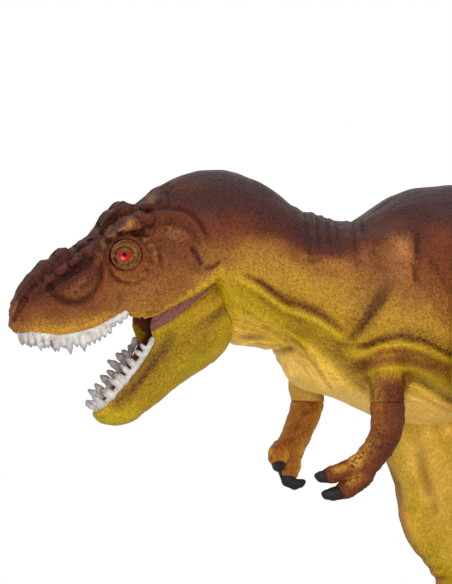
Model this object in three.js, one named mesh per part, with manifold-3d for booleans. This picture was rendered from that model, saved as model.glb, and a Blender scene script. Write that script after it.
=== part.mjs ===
// Large hollow vinyl toy dinosaur: a two-legged hunter with an open mouth.
// The figure faces -X, its left side is -Y, and its soles rest on z = 0.
// Units are millimetres.
import * as THREE from 'three';
import { mergeVertices } from 'three/addons/utils/BufferGeometryUtils.js';
import Module from 'manifold-3d';

const wasm = await Module();
wasm.setup();

// Driving dimensions of the whole figure
const figureLength = 560; // snout tip to tail tip
const figureHeight = 294; // soles to crown of the head
const torsoWidth = 104;
const skinWall = 3.2; // thickness of the moulded skin
const fitGap = 0.3; // between pieces that are fixed or turn face to face
const turnGap = 0.6; // around a piece that turns in a recess
const sweepGap = 1.2; // around the torso where a thigh turns over it
const cutOverrun = 30; // how far a cutting solid runs past what it cuts
const boreOverrun = 5; // the same for the short bores of the pegs
const edgeChamfer = 0.8;

// Jaw
const jawLength = 99;
const jawWidth = 55;
const jawPinRadius = 2.2;
const jawWallWidth = 5; // side walls of the jaw on both sides of the mouth floor
const jawPocketRadius = 10.4; // round pocket in the roof of the mouth that the jaw's root turns in
const jawPinInset = 19.8; // inner end of each hinge pin, out from the middle

// Teeth
const upperToothLength = 6.2;
const lowerToothLength = 6.6;
const toothWidth = 4.6;
const toothThickness = 2.3;
const gumWidth = 3;
const gumHeight = 3.6;
const gumSink = 1.6; // how deep a gum strip sits in the lip
const gumTopWidth = 2.4; // of a gum strip where the teeth stand
const gumInset = 3.3; // middle of a gum strip, in from the skin

// Eyes
const eyeRadius = 8.4;
const eyeRimHeight = 4.4; // straight side of the eye above its socket floor
const irisBulge = 2.2; // height of the dome above it

// Arm joints
const armSeamRadius = 9.4;
const armPegRadius = 3.2;
const armFlangeRadius = 5.2;
const armHollowRadius = 6.1; // room for the flange inside the shoulder

// Leg joints
const legSeamRadius = 37;
const legPegRadius = 12;
const legFlangeRadius = 17;

// Tail joint
const tailPegRadius = 15;
const tailFlangeRadius = 21;

// Joint plates and pegs
const plateThickness = 4; // wall that a peg passes through
const flangeThickness = 2.6;
const pegDepth = 13; // how deep a leg or tail peg sits in its limb
const legBoreDepth = 26; // the bore of a leg runs on into its hollow
const armPegDepth = 7;
const tailWall = 3.6;
const limbWall = 8; // thickness of the legs and of the tail's neck plate

// Feet
const toeLength = 52;
const toeWidth = 17;
const toeHeight = 17;
const clawLength = 15;

const along = (share) => share * figureLength;
const height = (share) => share * figureHeight;
const across = (share) => share * torsoWidth;
const turn = THREE.MathUtils.degToRad;

// Stations of the skin from snout to tail seam: place along the figure, top and bottom as shares of the
// height, half width as a share of the torso width, level of the widest place, and how square the lower
// half of the section is.
const skinShares = [
  [0.014, 0.741, 0.707, 0.045, 0.722, 2],
  [0.018, 0.773, 0.702, 0.077, 0.731, 2.4],
  [0.025, 0.795, 0.698, 0.103, 0.730, 3],
  [0.039, 0.825, 0.693, 0.132, 0.730, 4],
  [0.057, 0.838, 0.690, 0.162, 0.733, 4.5],
  [0.075, 0.850, 0.696, 0.188, 0.746, 4.5],
  [0.089, 0.864, 0.704, 0.210, 0.763, 4.5],
  [0.104, 0.889, 0.719, 0.232, 0.779, 4.5],
  [0.116, 0.914, 0.731, 0.252, 0.793, 4.5],
  [0.125, 0.925, 0.718, 0.264, 0.797, 4.5],
  [0.139, 0.935, 0.712, 0.284, 0.799, 4.5],
  [0.154, 0.954, 0.724, 0.303, 0.804, 4.5],
  [0.171, 0.974, 0.745, 0.322, 0.816, 4.5],
  [0.189, 0.990, 0.765, 0.337, 0.827, 4.5],
  [0.207, 0.999, 0.790, 0.346, 0.837, 4],
  [0.218, 1.000, 0.722, 0.351, 0.837, 2.4],
  [0.229, 1.000, 0.687, 0.351, 0.837, 2.2],
  [0.243, 0.995, 0.674, 0.346, 0.827, 2.1],
  [0.264, 0.979, 0.670, 0.332, 0.816, 2.1],
  [0.282, 0.956, 0.667, 0.327, 0.803, 2.1],
  [0.293, 0.942, 0.655, 0.337, 0.793, 2.1],
  [0.300, 0.932, 0.615, 0.346, 0.776, 2.1],
  [0.307, 0.925, 0.600, 0.361, 0.762, 2.1],
  [0.321, 0.918, 0.587, 0.385, 0.748, 2.2],
  [0.343, 0.907, 0.577, 0.418, 0.738, 2.2],
  [0.364, 0.903, 0.564, 0.447, 0.728, 2.2],
  [0.382, 0.922, 0.545, 0.471, 0.724, 2.3],
  [0.404, 0.950, 0.533, 0.488, 0.724, 2.3],
  [0.429, 0.967, 0.526, 0.500, 0.728, 2.3],
  [0.468, 0.973, 0.530, 0.485, 0.735, 2.3],
  [0.509, 0.968, 0.551, 0.455, 0.745, 2.2],
  [0.554, 0.950, 0.588, 0.418, 0.759, 2.1],
  [0.589, 0.926, 0.619, 0.394, 0.770, 2],
  [0.616, 0.904, 0.640, 0.373, 0.772, 2],
];
const skinUpperPowerShare = 2.15;

// Mouth roof above the lips: place along, roof height, half width.
const mouthShares = [
  [0.030, 0.709, 0.050],
  [0.040, 0.715, 0.078],
  [0.057, 0.722, 0.108],
  [0.075, 0.733, 0.128],
  [0.089, 0.745, 0.145],
  [0.106, 0.768, 0.165],
  [0.118, 0.790, 0.190],
  [0.131, 0.807, 0.222],
  [0.148, 0.818, 0.250],
  [0.168, 0.828, 0.272],
  [0.189, 0.842, 0.281],
  [0.207, 0.854, 0.281],
];
const mouthFloorShare = 0.64;
const mouthLevelShare = 0.4; // widest level of the mouth, down from the roof to the floor

// Jaw hinge, and the root and slope of the open jaw
const hingeAlongShare = 0.218;
const hingeHeightShare = 0.824;
const jawRootAlongShare = 0.2125;
const jawRootHeightShare = 0.803;
const jawSlope = turn(52); // below the horizontal, mouth open

// Jaw stations from the chin back: place along the jaw, top and bottom as shares of its length, and half
// width as a share of its width.
const jawShares = [
  [1.010, 0.020, -0.040, 0.045],
  [0.990, 0.040, -0.090, 0.120],
  [0.950, 0.038, -0.130, 0.170],
  [0.880, 0.036, -0.165, 0.215],
  [0.780, 0.036, -0.195, 0.250],
  [0.660, 0.036, -0.220, 0.283],
  [0.550, 0.046, -0.252, 0.320],
  [0.460, 0.080, -0.285, 0.365],
  [0.360, 0.080, -0.320, 0.428],
  [0.260, 0.066, -0.335, 0.480],
  [0.170, 0.050, -0.305, 0.500],
  [0.090, 0.040, -0.220, 0.490],
  [0.030, 0.020, -0.100, 0.460],
];
// Inner walls of the jaw, which rise between the cheeks to the hinge pins.
const jawWallShares = [
  [0.500, 0.060, -0.080, 0.290],
  [0.460, 0.130, -0.080, 0.335],
  [0.400, 0.170, -0.090, 0.375],
  [0.320, 0.150, -0.100, 0.415],
  [0.220, 0.118, -0.100, 0.450],
  [0.100, 0.095, -0.090, 0.455],
  [0.010, 0.088, -0.070, 0.450],
  [-0.070, 0.082, -0.058, 0.450],
  [-0.120, 0.055, -0.030, 0.440],
  [-0.137, 0.030, -0.004, 0.430],
];
const jawFloorShare = -0.045; // mouth floor between the lower tooth rows

const jawChannelShares = [0.90, 0.80, 0.68, 0.56, 0.46, 0.34, 0.2, 0, -0.25];
const jawChannelTopShare = 0.3;
const jawBackShare = 0.30; // from here back the channel keeps its width
const jawLevelShare = 0.62; // widest level of the jaw, up from its underside
const jawWallLevelShare = 0.5;

// Gum arches: place along and height of the upper lip, and place along the jaw of the lower one
const upperGumShares = [
  [0.1150, 0.731], [0.1040, 0.719], [0.0890, 0.704], [0.0750, 0.696], [0.0570, 0.690],
  [0.0400, 0.693], [0.0285, 0.697],
];
const upperGumFrontShares = [0.0225, 0.701];
const upperToothCount = 27;
const lowerToothCount = 21;
const lowerGumShares = [0.53, 0.60, 0.68, 0.76, 0.84, 0.90, 0.945];
const lowerGumFrontShare = 0.972;
// Relative lengths of the teeth, repeated along each row
const toothLengthShares = [1, 0.78, 1.15, 0.9, 1.2, 0.7, 1.05];
// A tooth from root to tip: place along it, width, and how far it curls back
const toothShares = [
  [0, 0.5, 0],
  [0.6, 0.42, 0.04],
  [1, 0.08, 0.16],
];

// Tongue stations: place along the jaw, half width, thickness, all shares of the jaw length.
const tongueShares = [
  [0.34, 0.050, 0.030],
  [0.42, 0.078, 0.055],
  [0.55, 0.080, 0.060],
  [0.68, 0.072, 0.055],
  [0.78, 0.058, 0.045],
  [0.85, 0.030, 0.030],
];

// Eyes and the bumps around them: place along, height, how far out of the skin's half width.
const eyeAlongShare = 0.1155;
const eyeHeightShare = 0.842;
const eyeSideShare = 0.218;
const eyeHeadingShares = [-0.2, 1, 0.08]; // forward, outward, up
// Rows of horny bumps on the head: along, height, side (share of torso width), radius along, up, across.
const bumpShares = [
  [0.121, 0.898, 0.205, 0.017, 0.015, 0.060],
  [0.105, 0.876, 0.185, 0.008, 0.014, 0.036],
  [0.136, 0.910, 0.190, 0.014, 0.014, 0.060],
  [0.116, 0.912, 0.050, 0.012, 0.016, 0.060],
  [0.098, 0.865, 0.080, 0.011, 0.014, 0.050],
  [0.080, 0.841, 0.070, 0.011, 0.014, 0.045],
  [0.062, 0.829, 0.060, 0.011, 0.014, 0.045],
  [0.045, 0.815, 0.050, 0.010, 0.012, 0.038],
  [0.031, 0.791, 0.040, 0.008, 0.011, 0.034],
];
const fenestraShares = [0.0795, 0.783, 0.268, 0.024, 0.030, 0.110];
const nostrilShares = [0.0215, 0.748, 0.098, 0.0052, 0.022, 0.036];
const nostrilLean = turn(32);
const earShares = [0.1900, 0.852, 0.372, 0.005, 0.016, 0.050];

// Arms: where the seam ring sits, then the bent limb as offsets from it (along, across, down as shares
// of the figure height) with its radius.
const armSideShare = 0.430;
const leftArmAlongShare = 0.3725;
const rightArmAlongShare = 0.3435;
const armSeamHeightShare = 0.568;
// Shoulder stub above the seam: rise, radius as a share of the seam's, lean towards the middle
const armStubShares = [
  [0.110, 1.2, 0.34],
  [0.070, 1.15, 0.16],
  [0.025, 1.04, 0],
  [0.000, 1, 0],
];
const armHollowShare = 0.125; // height of the hollow in the stub
const leftArmShares = [
  [0.000, 0.000, 0.000, 0.0320],
  [0.000, 0.000, 0.022, 0.0305],
  [-0.002, 0.002, 0.052, 0.0295],
  [-0.008, 0.004, 0.078, 0.0290],
  [-0.026, 0.006, 0.102, 0.0270],
  [-0.048, 0.004, 0.118, 0.0235],
  [-0.062, 0.002, 0.127, 0.0235],
  [-0.072, 0.001, 0.133, 0.0150],
];
const rightArmShares = [
  [0.000, 0.000, 0.000, 0.0320],
  [-0.006, 0.000, 0.018, 0.0305],
  [-0.013, 0.000, 0.037, 0.0300],
  [-0.0260, -0.003, 0.065, 0.0275],
  [-0.0390, -0.010, 0.090, 0.0285],
  [-0.045, -0.018, 0.104, 0.0275],
  [-0.045, -0.022, 0.113, 0.0160],
];
// Headings of the two fingers of each hand: forward, outward, up
const leftFingerShares = [[-0.97, 0.12, -0.14], [-0.85, -0.10, -0.42]];
const rightFingerShares = [[-0.66, -0.66, -0.30], [0.22, -0.70, -0.56]];
const fingerLengthShare = 0.040;
const fingerRadiusShare = 0.0135;
const handClawLengthShare = 0.026;
// A finger and its claw from root to tip: place along it and radius
const fingerShares = [[0, 1], [0.4, 1.05], [0.75, 1], [1, 0.7]];
const handClawShares = [[-0.15, 0.75], [0.3, 0.85], [0.7, 0.55], [1, 0.12]];
const fingerDroopShare = 0.1;
const clawDroopShare = 0.35;

// Legs: height, place along, fore-and-aft half size, side place and sideways half size.
const legShares = [
  [0.893, 0.513, 0.030, 0.430, 0.060],
  [0.875, 0.513, 0.055, 0.455, 0.120],
  [0.830, 0.512, 0.072, 0.510, 0.180],
  [0.760, 0.509, 0.078, 0.550, 0.215],
  [0.680, 0.499, 0.074, 0.565, 0.225],
  [0.600, 0.487, 0.065, 0.565, 0.215],
  [0.520, 0.478, 0.054, 0.555, 0.190],
  [0.450, 0.477, 0.046, 0.545, 0.165],
  [0.380, 0.484, 0.041, 0.535, 0.145],
  [0.310, 0.490, 0.034, 0.525, 0.120],
  [0.240, 0.508, 0.025, 0.515, 0.100],
  [0.190, 0.514, 0.0235, 0.510, 0.100],
  [0.130, 0.506, 0.024, 0.505, 0.110],
  [0.080, 0.494, 0.029, 0.500, 0.145],
  [0.035, 0.484, 0.038, 0.500, 0.180],
  [0.000, 0.480, 0.034, 0.500, 0.160],
];
const hipAlongShare = 0.509;
const hipHeightShare = 0.757;
const hipSeamShare = 0.385; // seam plane, out from the middle
const leftStrideShare = 0.048; // how far the left foot stands behind the right one
const toeSpread = turn(24);
// Toes from the outer one in: heading as a share of the spread, and length
const footShares = [[1, 0.90], [0, 1], [-1, 0.86]];
// A toe from the ball of the foot on, and its claw: place along it, width and height
const toeShares = [
  [0.00, 1.10, 1.10],
  [0.25, 1.02, 1.02],
  [0.45, 0.86, 0.88],
  [0.65, 0.92, 0.90],
  [0.85, 0.80, 0.76],
  [1.00, 0.50, 0.50],
];
const toeUpperShare = 0.62; // of its height above its widest level
const toeClawShares = [[-0.2, 0.21, 0.34], [0.2, 0.18, 0.34], [0.6, 0.12, 0.26], [1, 0.03, 0.08]];
const legSwing = turn(20); // clearance each way, a little past the joint's stop

// Tail: place along, height, half height and half width as shares of the torso width, sideways curve.
const tailShares = [
  [0.616, 0.772, 0.373, 0.373, 0.000],
  [0.650, 0.768, 0.345, 0.340, 0.000],
  [0.695, 0.760, 0.300, 0.288, -0.010],
  [0.745, 0.752, 0.245, 0.228, -0.030],
  [0.800, 0.748, 0.190, 0.172, -0.060],
  [0.855, 0.750, 0.142, 0.126, -0.090],
  [0.905, 0.757, 0.100, 0.088, -0.120],
  [0.950, 0.769, 0.062, 0.054, -0.140],
  [0.982, 0.781, 0.034, 0.030, -0.150],
  [1.000, 0.788, 0.008, 0.008, -0.154],
];

// Colours of the moulded and painted vinyl
const vinylSkin = new THREE.MeshStandardMaterial({ color: 0xa8772c, roughness: 0.6, metalness: 0 });
const vinylJaw = new THREE.MeshStandardMaterial({ color: 0xa39a1e, roughness: 0.6, metalness: 0 });
const vinylLimb = new THREE.MeshStandardMaterial({ color: 0x9a5a2a, roughness: 0.6, metalness: 0 });
const vinylLeg = new THREE.MeshStandardMaterial({ color: 0xb98f2e, roughness: 0.6, metalness: 0 });
const ivory = new THREE.MeshStandardMaterial({ color: 0xd8d2c8, roughness: 0.5, metalness: 0 });
const mauve = new THREE.MeshStandardMaterial({ color: 0x7a3f44, roughness: 0.5, metalness: 0 });
const eyeRed = new THREE.MeshStandardMaterial({ color: 0xc81418, roughness: 0.2, metalness: 0 });
const pegGrey = new THREE.MeshStandardMaterial({ color: 0x4b4a48, roughness: 0.5, metalness: 0 });
const pinSteel = new THREE.MeshStandardMaterial({ color: 0x9a9a9a, roughness: 0.35, metalness: 0.9 });

// Turns a closed geometry into a solid.
function toSolid(geometry) {
  const plain = geometry.clone();
  plain.deleteAttribute('normal');
  plain.deleteAttribute('uv');
  const merged = mergeVertices(plain);
  return new wasm.Manifold(new wasm.Mesh({
    numProp: 3,
    vertProperties: new Float32Array(merged.attributes.position.array),
    triVerts: new Uint32Array(merged.index.array),
  }));
}

// Turns a solid back into a mesh with its node's name.
function toMesh(name, body, material) {
  const { vertProperties, triVerts } = body.getMesh();
  const geometry = new THREE.BufferGeometry();
  geometry.setAttribute('position', new THREE.BufferAttribute(vertProperties, 3));
  geometry.setIndex(new THREE.BufferAttribute(triVerts, 1));
  geometry.computeVertexNormals();
  const mesh = new THREE.Mesh(geometry, material);
  mesh.name = name;
  return mesh;
}

// Joins rings of equal point counts into a closed skin with a fan over each end.
function loft(rings) {
  const sides = rings[0].length;
  const points = rings.flat();
  const first = points.length;
  points.push(ringCentre(rings[0]), ringCentre(rings[rings.length - 1]));
  const faces = [];
  for (let row = 0; row < rings.length - 1; row += 1) {
    for (let side = 0; side < sides; side += 1) {
      const next = (side + 1) % sides;
      const a = row * sides + side;
      const b = row * sides + next;
      faces.push(a, b, b + sides, a, b + sides, a + sides);
    }
  }
  const lastRow = (rings.length - 1) * sides;
  for (let side = 0; side < sides; side += 1) {
    const next = (side + 1) % sides;
    faces.push(first, next, side);
    faces.push(first + 1, lastRow + side, lastRow + next);
  }
  if (signedVolume(points, faces) < 0) {
    faces.reverse();
  }
  const geometry = new THREE.BufferGeometry().setFromPoints(points);
  geometry.setIndex(faces);
  return toSolid(geometry);
}

function ringCentre(ring) {
  const sum = ring.reduce((total, point) => total.add(point), new THREE.Vector3());
  return sum.divideScalar(ring.length);
}

function signedVolume(points, faces) {
  let total = 0;
  for (let at = 0; at < faces.length; at += 3) {
    const [a, b, c] = [points[faces[at]], points[faces[at + 1]], points[faces[at + 2]]];
    total += a.dot(b.clone().cross(c));
  }
  return total;
}

// One oval section: separate rise and drop about its widest level, and a power that squares it off.
function ovalRing(centre, side, up, size, sides) {
  const ring = [];
  for (let step = 0; step < sides; step += 1) {
    const angle = (2 * Math.PI * step) / sides;
    const power = Math.sin(angle) >= 0 ? size.upperPower : size.lowerPower;
    const reach = Math.sin(angle) >= 0 ? size.rise : size.drop;
    const bend = (value) => Math.sign(value) * Math.abs(value) ** (2 / power);
    ring.push(centre.clone()
      .addScaledVector(side, bend(Math.cos(angle)) * size.halfWidth)
      .addScaledVector(up, bend(Math.sin(angle)) * reach));
  }
  return ring;
}

// A round section of a limb
function roundSize(radius, halfWidth = radius) {
  return { halfWidth, rise: radius, drop: radius, upperPower: 2, lowerPower: 2 };
}

// A limb whose round sections stand square to a path of places
function limb(places, radii, sides) {
  const rings = places.map((place, index) => {
    const before = places[Math.max(index - 1, 0)];
    const after = places[Math.min(index + 1, places.length - 1)];
    const ahead = after.clone().sub(before).normalize();
    const side = new THREE.Vector3(0, 1, 0).addScaledVector(ahead, -ahead.y).normalize();
    const up = ahead.clone().cross(side);
    return ovalRing(place, side, up, roundSize(radii[index]), sides);
  });
  return loft(rings);
}

// An ellipsoid, for bumps and hollows
function egg(place, radii, lean = 0) {
  const geometry = new THREE.SphereGeometry(1, 7, 5);
  geometry.scale(radii.x, radii.y, radii.z);
  geometry.rotateY(lean);
  geometry.translate(place.x, place.y, place.z);
  return toSolid(geometry);
}

// A cylinder between two places
function rod(from, to, radius, sides = 32) {
  const length = to.distanceTo(from);
  const geometry = new THREE.CylinderGeometry(radius, radius, length, sides);
  const ahead = to.clone().sub(from).normalize();
  const tilt = new THREE.Quaternion().setFromUnitVectors(new THREE.Vector3(0, 1, 0), ahead);
  geometry.applyQuaternion(tilt);
  const middle = from.clone().add(to).multiplyScalar(0.5);
  geometry.translate(middle.x, middle.y, middle.z);
  return toSolid(geometry);
}

// Skin stations in real sizes, drawn in by an inset (or out by a negative one)
function skinStations(inset) {
  return skinShares.map(([place, top, bottom, half, level, lowerPower]) => ({
    x: along(place),
    rise: height(top - level) - inset,
    drop: height(level - bottom) - inset,
    level: height(level),
    halfWidth: across(half) - inset,
    upperPower: skinUpperPowerShare,
    lowerPower,
  }));
}

const sideways = new THREE.Vector3(0, 1, 0);
const upward = new THREE.Vector3(0, 0, 1);

function skinLoft(stations, sides) {
  return loft(stations.map((size) =>
    ovalRing(new THREE.Vector3(size.x, 0, size.level), sideways, upward, size, sides)));
}

// Half width and lip height of the skin at a place along the figure
function skinAt(share) {
  const next = Math.max(1, skinShares.findIndex((row) => row[0] >= share));
  const [low, high] = [skinShares[next - 1], skinShares[next]];
  const blend = (share - low[0]) / (high[0] - low[0]);
  const mix = (column) => THREE.MathUtils.lerp(low[column], high[column], blend);
  return { top: height(mix(1)), bottom: height(mix(2)), halfWidth: across(mix(3)) };
}

// The hollow inside the skin. Over the mouth its floor stays a wall above the mouth roof.
function hollow() {
  const stations = skinStations(skinWall);
  const snoutStations = 4; // the tip of the snout is solid
  const inside = stations.slice(snoutStations, stations.length - 1);
  const lastMouth = mouthShares[mouthShares.length - 1][0];
  for (const size of inside) {
    if (size.x <= along(lastMouth) + skinWall) {
      const roof = mouthRoofAt(size.x) + skinWall;
      size.drop = Math.min(size.drop, size.level - roof);
    }
  }
  const kept = inside.filter((size) => size.rise > skinWall && size.drop > skinWall / 2);
  const seamEnd = stations[stations.length - 1];
  kept.push({ ...seamEnd, x: seamEnd.x - plateThickness });
  return skinLoft(kept, 16);
}

function mouthRoofAt(x) {
  const rows = mouthShares;
  const share = x / figureLength;
  if (share <= rows[0][0]) {
    return height(rows[0][1]);
  }
  const next = rows.findIndex((row) => row[0] >= share);
  if (next < 0) {
    return height(rows[rows.length - 1][1]);
  }
  const [low, high] = [rows[next - 1], rows[next]];
  return height(THREE.MathUtils.mapLinear(share, low[0], high[0], low[1], high[1]));
}

// The open mouth under its roof, with a round pocket for the hinge end of the jaw
const hingePlace = new THREE.Vector3(along(hingeAlongShare), 0, height(hingeHeightShare));
const jawPocketHalf = across(mouthShares[mouthShares.length - 1][2]);

function mouthCavity() {
  const floor = height(mouthFloorShare);
  const rings = mouthShares.map(([place, roof, half]) => {
    const level = THREE.MathUtils.lerp(height(roof), floor, mouthLevelShare);
    const size = {
      halfWidth: across(half),
      rise: height(roof) - level,
      drop: level - floor,
      upperPower: 3.5,
      lowerPower: 8,
    };
    return ovalRing(new THREE.Vector3(along(place), 0, level), sideways, upward, size, 14);
  });
  const from = hingePlace.clone().setY(-jawPocketHalf);
  const to = hingePlace.clone().setY(jawPocketHalf);
  return loft(rings).add(rod(from, to, jawPocketRadius, 20));
}

// Frame of the open jaw: ahead runs from its root to the chin, rise points up into the mouth.
const jawRoot = new THREE.Vector3(along(jawRootAlongShare), 0, height(jawRootHeightShare));
const jawAhead = new THREE.Vector3(-Math.cos(jawSlope), 0, -Math.sin(jawSlope));
const jawRise = new THREE.Vector3(-Math.sin(jawSlope), 0, Math.cos(jawSlope));

function jawPlace(aheadShare, riseShare, side = 0) {
  return jawRoot.clone()
    .addScaledVector(jawAhead, aheadShare * jawLength)
    .addScaledVector(jawRise, riseShare * jawLength)
    .setY(side);
}

function jawLoft(rows, levelShare, upperPower, lowerPower, sides) {
  return loft(rows.map(([ahead, top, bottom, half]) => {
    const level = THREE.MathUtils.lerp(bottom, top, levelShare);
    const size = {
      halfWidth: half * jawWidth,
      rise: (top - level) * jawLength,
      drop: (level - bottom) * jawLength,
      upperPower,
      lowerPower,
    };
    return ovalRing(jawPlace(ahead, level), sideways, jawRise, size, sides);
  }));
}

function jawHalfWidthAt(ahead) {
  const next = jawShares.findIndex((row) => row[0] <= ahead);
  const [high, low] = [jawShares[next - 1], jawShares[next]];
  return THREE.MathUtils.mapLinear(ahead, low[0], high[0], low[3], high[3]) * jawWidth;
}

function jawTopAt(ahead) {
  const next = jawShares.findIndex((row) => row[0] <= ahead);
  const [high, low] = [jawShares[next - 1], jawShares[next]];
  return THREE.MathUtils.mapLinear(ahead, low[0], high[0], low[1], high[1]);
}

// The open channel between the side walls of the jaw
function jawChannel() {
  const level = THREE.MathUtils.lerp(jawFloorShare, jawChannelTopShare, 0.3);
  return loft(jawChannelShares.map((ahead) => {
    const gum = ahead > lowerGumShares[0] ? gumWidth / 2 : 0;
    const size = {
      halfWidth: jawHalfWidthAt(Math.max(ahead, jawBackShare)) - jawWallWidth - gum,
      rise: (jawChannelTopShare - level) * jawLength,
      drop: (level - jawFloorShare) * jawLength,
      upperPower: 8,
      lowerPower: 6,
    };
    return ovalRing(jawPlace(ahead, level), sideways, jawRise, size, 12);
  }));
}

// A gum strip along an arch with its teeth. Points hold the lip line; down points out of the lip.
function toothRow(line, down, toothCount, toothLength, clearance) {
  const curve = new THREE.CatmullRomCurve3(line, false, 'centripetal');
  const steps = 18;
  const half = gumWidth / 2 + clearance;
  const topHalf = gumTopWidth / 2;
  const rings = [];
  for (let step = 0; step <= steps; step += 1) {
    const place = curve.getPointAt(step / steps);
    const ahead = curve.getTangentAt(step / steps);
    if (step === 0) {
      place.addScaledVector(ahead, -clearance);
    }
    if (step === steps) {
      place.addScaledVector(ahead, clearance);
    }
    const side = down.clone().cross(ahead).normalize();
    const outward = side.clone().cross(ahead).normalize();
    const away = outward.dot(down) < 0 ? outward.negate() : outward;
    const sink = gumSink + clearance;
    const reach = gumHeight - gumSink;
    const corner = (out, far) => place.clone().addScaledVector(side, out).addScaledVector(away, far);
    rings.push([corner(half, -sink), corner(topHalf, reach), corner(-topHalf, reach), corner(-half, -sink)]);
  }
  let row = loft(rings);
  for (let tooth = 0; tooth < toothCount; tooth += 1) {
    const share = (tooth + 0.5) / toothCount;
    const length = toothLength * toothLengthShares[tooth % toothLengthShares.length];
    const root = curve.getPointAt(share);
    const ahead = curve.getTangentAt(share);
    row = row.add(toothAt(root, ahead, down, length));
  }
  return row;
}

// A tooth that curves back a little, starting inside the gum
function toothAt(root, ahead, down, length) {
  const backward = new THREE.Vector3(1, 0, 0);
  const start = gumHeight - gumSink;
  const rings = toothShares.map(([far, wide, curl]) => {
    const place = root.clone()
      .addScaledVector(down, start / 2 + (start / 2 + length) * far)
      .addScaledVector(backward, curl * length);
    const side = down.clone().cross(ahead).normalize();
    return ovalRing(place, ahead, side, roundSize(toothThickness * wide, toothWidth * wide), 4);
  });
  return loft(rings);
}

// A row's line goes from its left back end round the front to its right back end.
function archLine(halfLine, front) {
  const left = halfLine.map((point) => point.clone());
  const right = halfLine.map((point) => point.clone().setY(-point.y)).reverse();
  return [...left, front, ...right];
}

function upperGumLine() {
  const half = upperGumShares.map(([place, lip]) => {
    const side = skinAt(place).halfWidth - gumInset;
    return new THREE.Vector3(along(place), -side, height(lip));
  });
  const [frontPlace, frontLip] = upperGumFrontShares;
  return archLine(half, new THREE.Vector3(along(frontPlace), 0, height(frontLip)));
}

function lowerGumLine() {
  const half = lowerGumShares.map((ahead) =>
    jawPlace(ahead, jawTopAt(ahead), -(jawHalfWidthAt(ahead) - gumInset)));
  return archLine(half, jawPlace(lowerGumFrontShare, jawTopAt(lowerGumFrontShare)));
}

// A peg with a flange: it turns in a round hole of the skin, and its shank is fixed in the limb.
function peg(seam, outward, pegRadius, flangeRadius, depth) {
  const flangeFace = -(plateThickness + fitGap);
  const profile = [
    [0, flangeFace - flangeThickness],
    [flangeRadius - edgeChamfer, flangeFace - flangeThickness],
    [flangeRadius, flangeFace - flangeThickness + edgeChamfer],
    [flangeRadius, flangeFace],
    [pegRadius, flangeFace],
    [pegRadius, depth - edgeChamfer],
    [pegRadius - edgeChamfer, depth],
    [0, depth],
  ].map(([radius, far]) => new THREE.Vector2(radius, far));
  const geometry = new THREE.LatheGeometry(profile, 18);
  const tilt = new THREE.Quaternion().setFromUnitVectors(new THREE.Vector3(0, 1, 0), outward);
  geometry.applyQuaternion(tilt);
  geometry.translate(seam.x, seam.y, seam.z);
  return toSolid(geometry);
}

// Where each peg hole goes through the skin
function pegHole(seam, outward, pegRadius) {
  const from = seam.clone().addScaledVector(outward, -plateThickness - boreOverrun);
  const to = seam.clone().addScaledVector(outward, plateThickness);
  return rod(from, to, pegRadius + fitGap, 18);
}

// The blind bore of a limb that takes its peg
function pegBore(seam, outward, pegRadius, depth) {
  const from = seam.clone().addScaledVector(outward, -boreOverrun);
  const to = seam.clone().addScaledVector(outward, depth + fitGap);
  return rod(from, to, pegRadius + fitGap, 18);
}

// Joint seams
const downward = new THREE.Vector3(0, 0, -1);
const rearward = new THREE.Vector3(1, 0, 0);
const tailSeam = new THREE.Vector3(along(tailShares[0][0]), 0, height(tailShares[0][1]));

function armSeam(side) {
  const place = side < 0 ? leftArmAlongShare : rightArmAlongShare;
  return new THREE.Vector3(along(place), side * across(armSideShare), height(armSeamHeightShare));
}

function hipSeam(side) {
  return new THREE.Vector3(along(hipAlongShare), side * across(hipSeamShare), height(hipHeightShare));
}

// Short shoulder stub that the arm's seam ring meets
function armStub(side) {
  const seam = armSeam(side);
  const places = armStubShares.map(([rise, wide, lean]) => new THREE.Vector3(
    seam.x,
    seam.y * (1 - lean),
    seam.z + height(rise),
  ));
  return limb(places, armStubShares.map((row) => row[1] * armSeamRadius), 16);
}

// The hollow of a stub behind the plate that the arm's peg goes through
function armStubHollow(side) {
  const seam = armSeam(side);
  const from = seam.clone().setZ(seam.z + plateThickness);
  const to = seam.clone().setZ(seam.z + height(armHollowShare));
  return rod(from, to, armHollowRadius, 12);
}

// The round recess in the flank that the thigh turns in, with its own wall
function hipCup(side) {
  const seam = hipSeam(side);
  const out = new THREE.Vector3(0, side, 0);
  const from = seam.clone().addScaledVector(out, -plateThickness);
  const to = seam.clone().addScaledVector(out, cutOverrun);
  return rod(from, to, legSeamRadius + skinWall, 28);
}

function hipRecess(side) {
  const seam = hipSeam(side);
  const to = seam.clone().addScaledVector(new THREE.Vector3(0, side, 0), cutOverrun);
  return rod(seam, to, legSeamRadius + turnGap, 28);
}

function shareEgg(row, side, lean = 0) {
  const [place, rise, out, radiusX, radiusZ, radiusY] = row;
  const centre = new THREE.Vector3(along(place), side * across(out), height(rise));
  const radii = { x: along(radiusX), y: across(radiusY), z: height(radiusZ) };
  return egg(centre, radii, lean);
}

function eyePlace(side) {
  return new THREE.Vector3(along(eyeAlongShare), side * across(eyeSideShare), height(eyeHeightShare));
}

const bothSides = [-1, 1];

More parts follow.
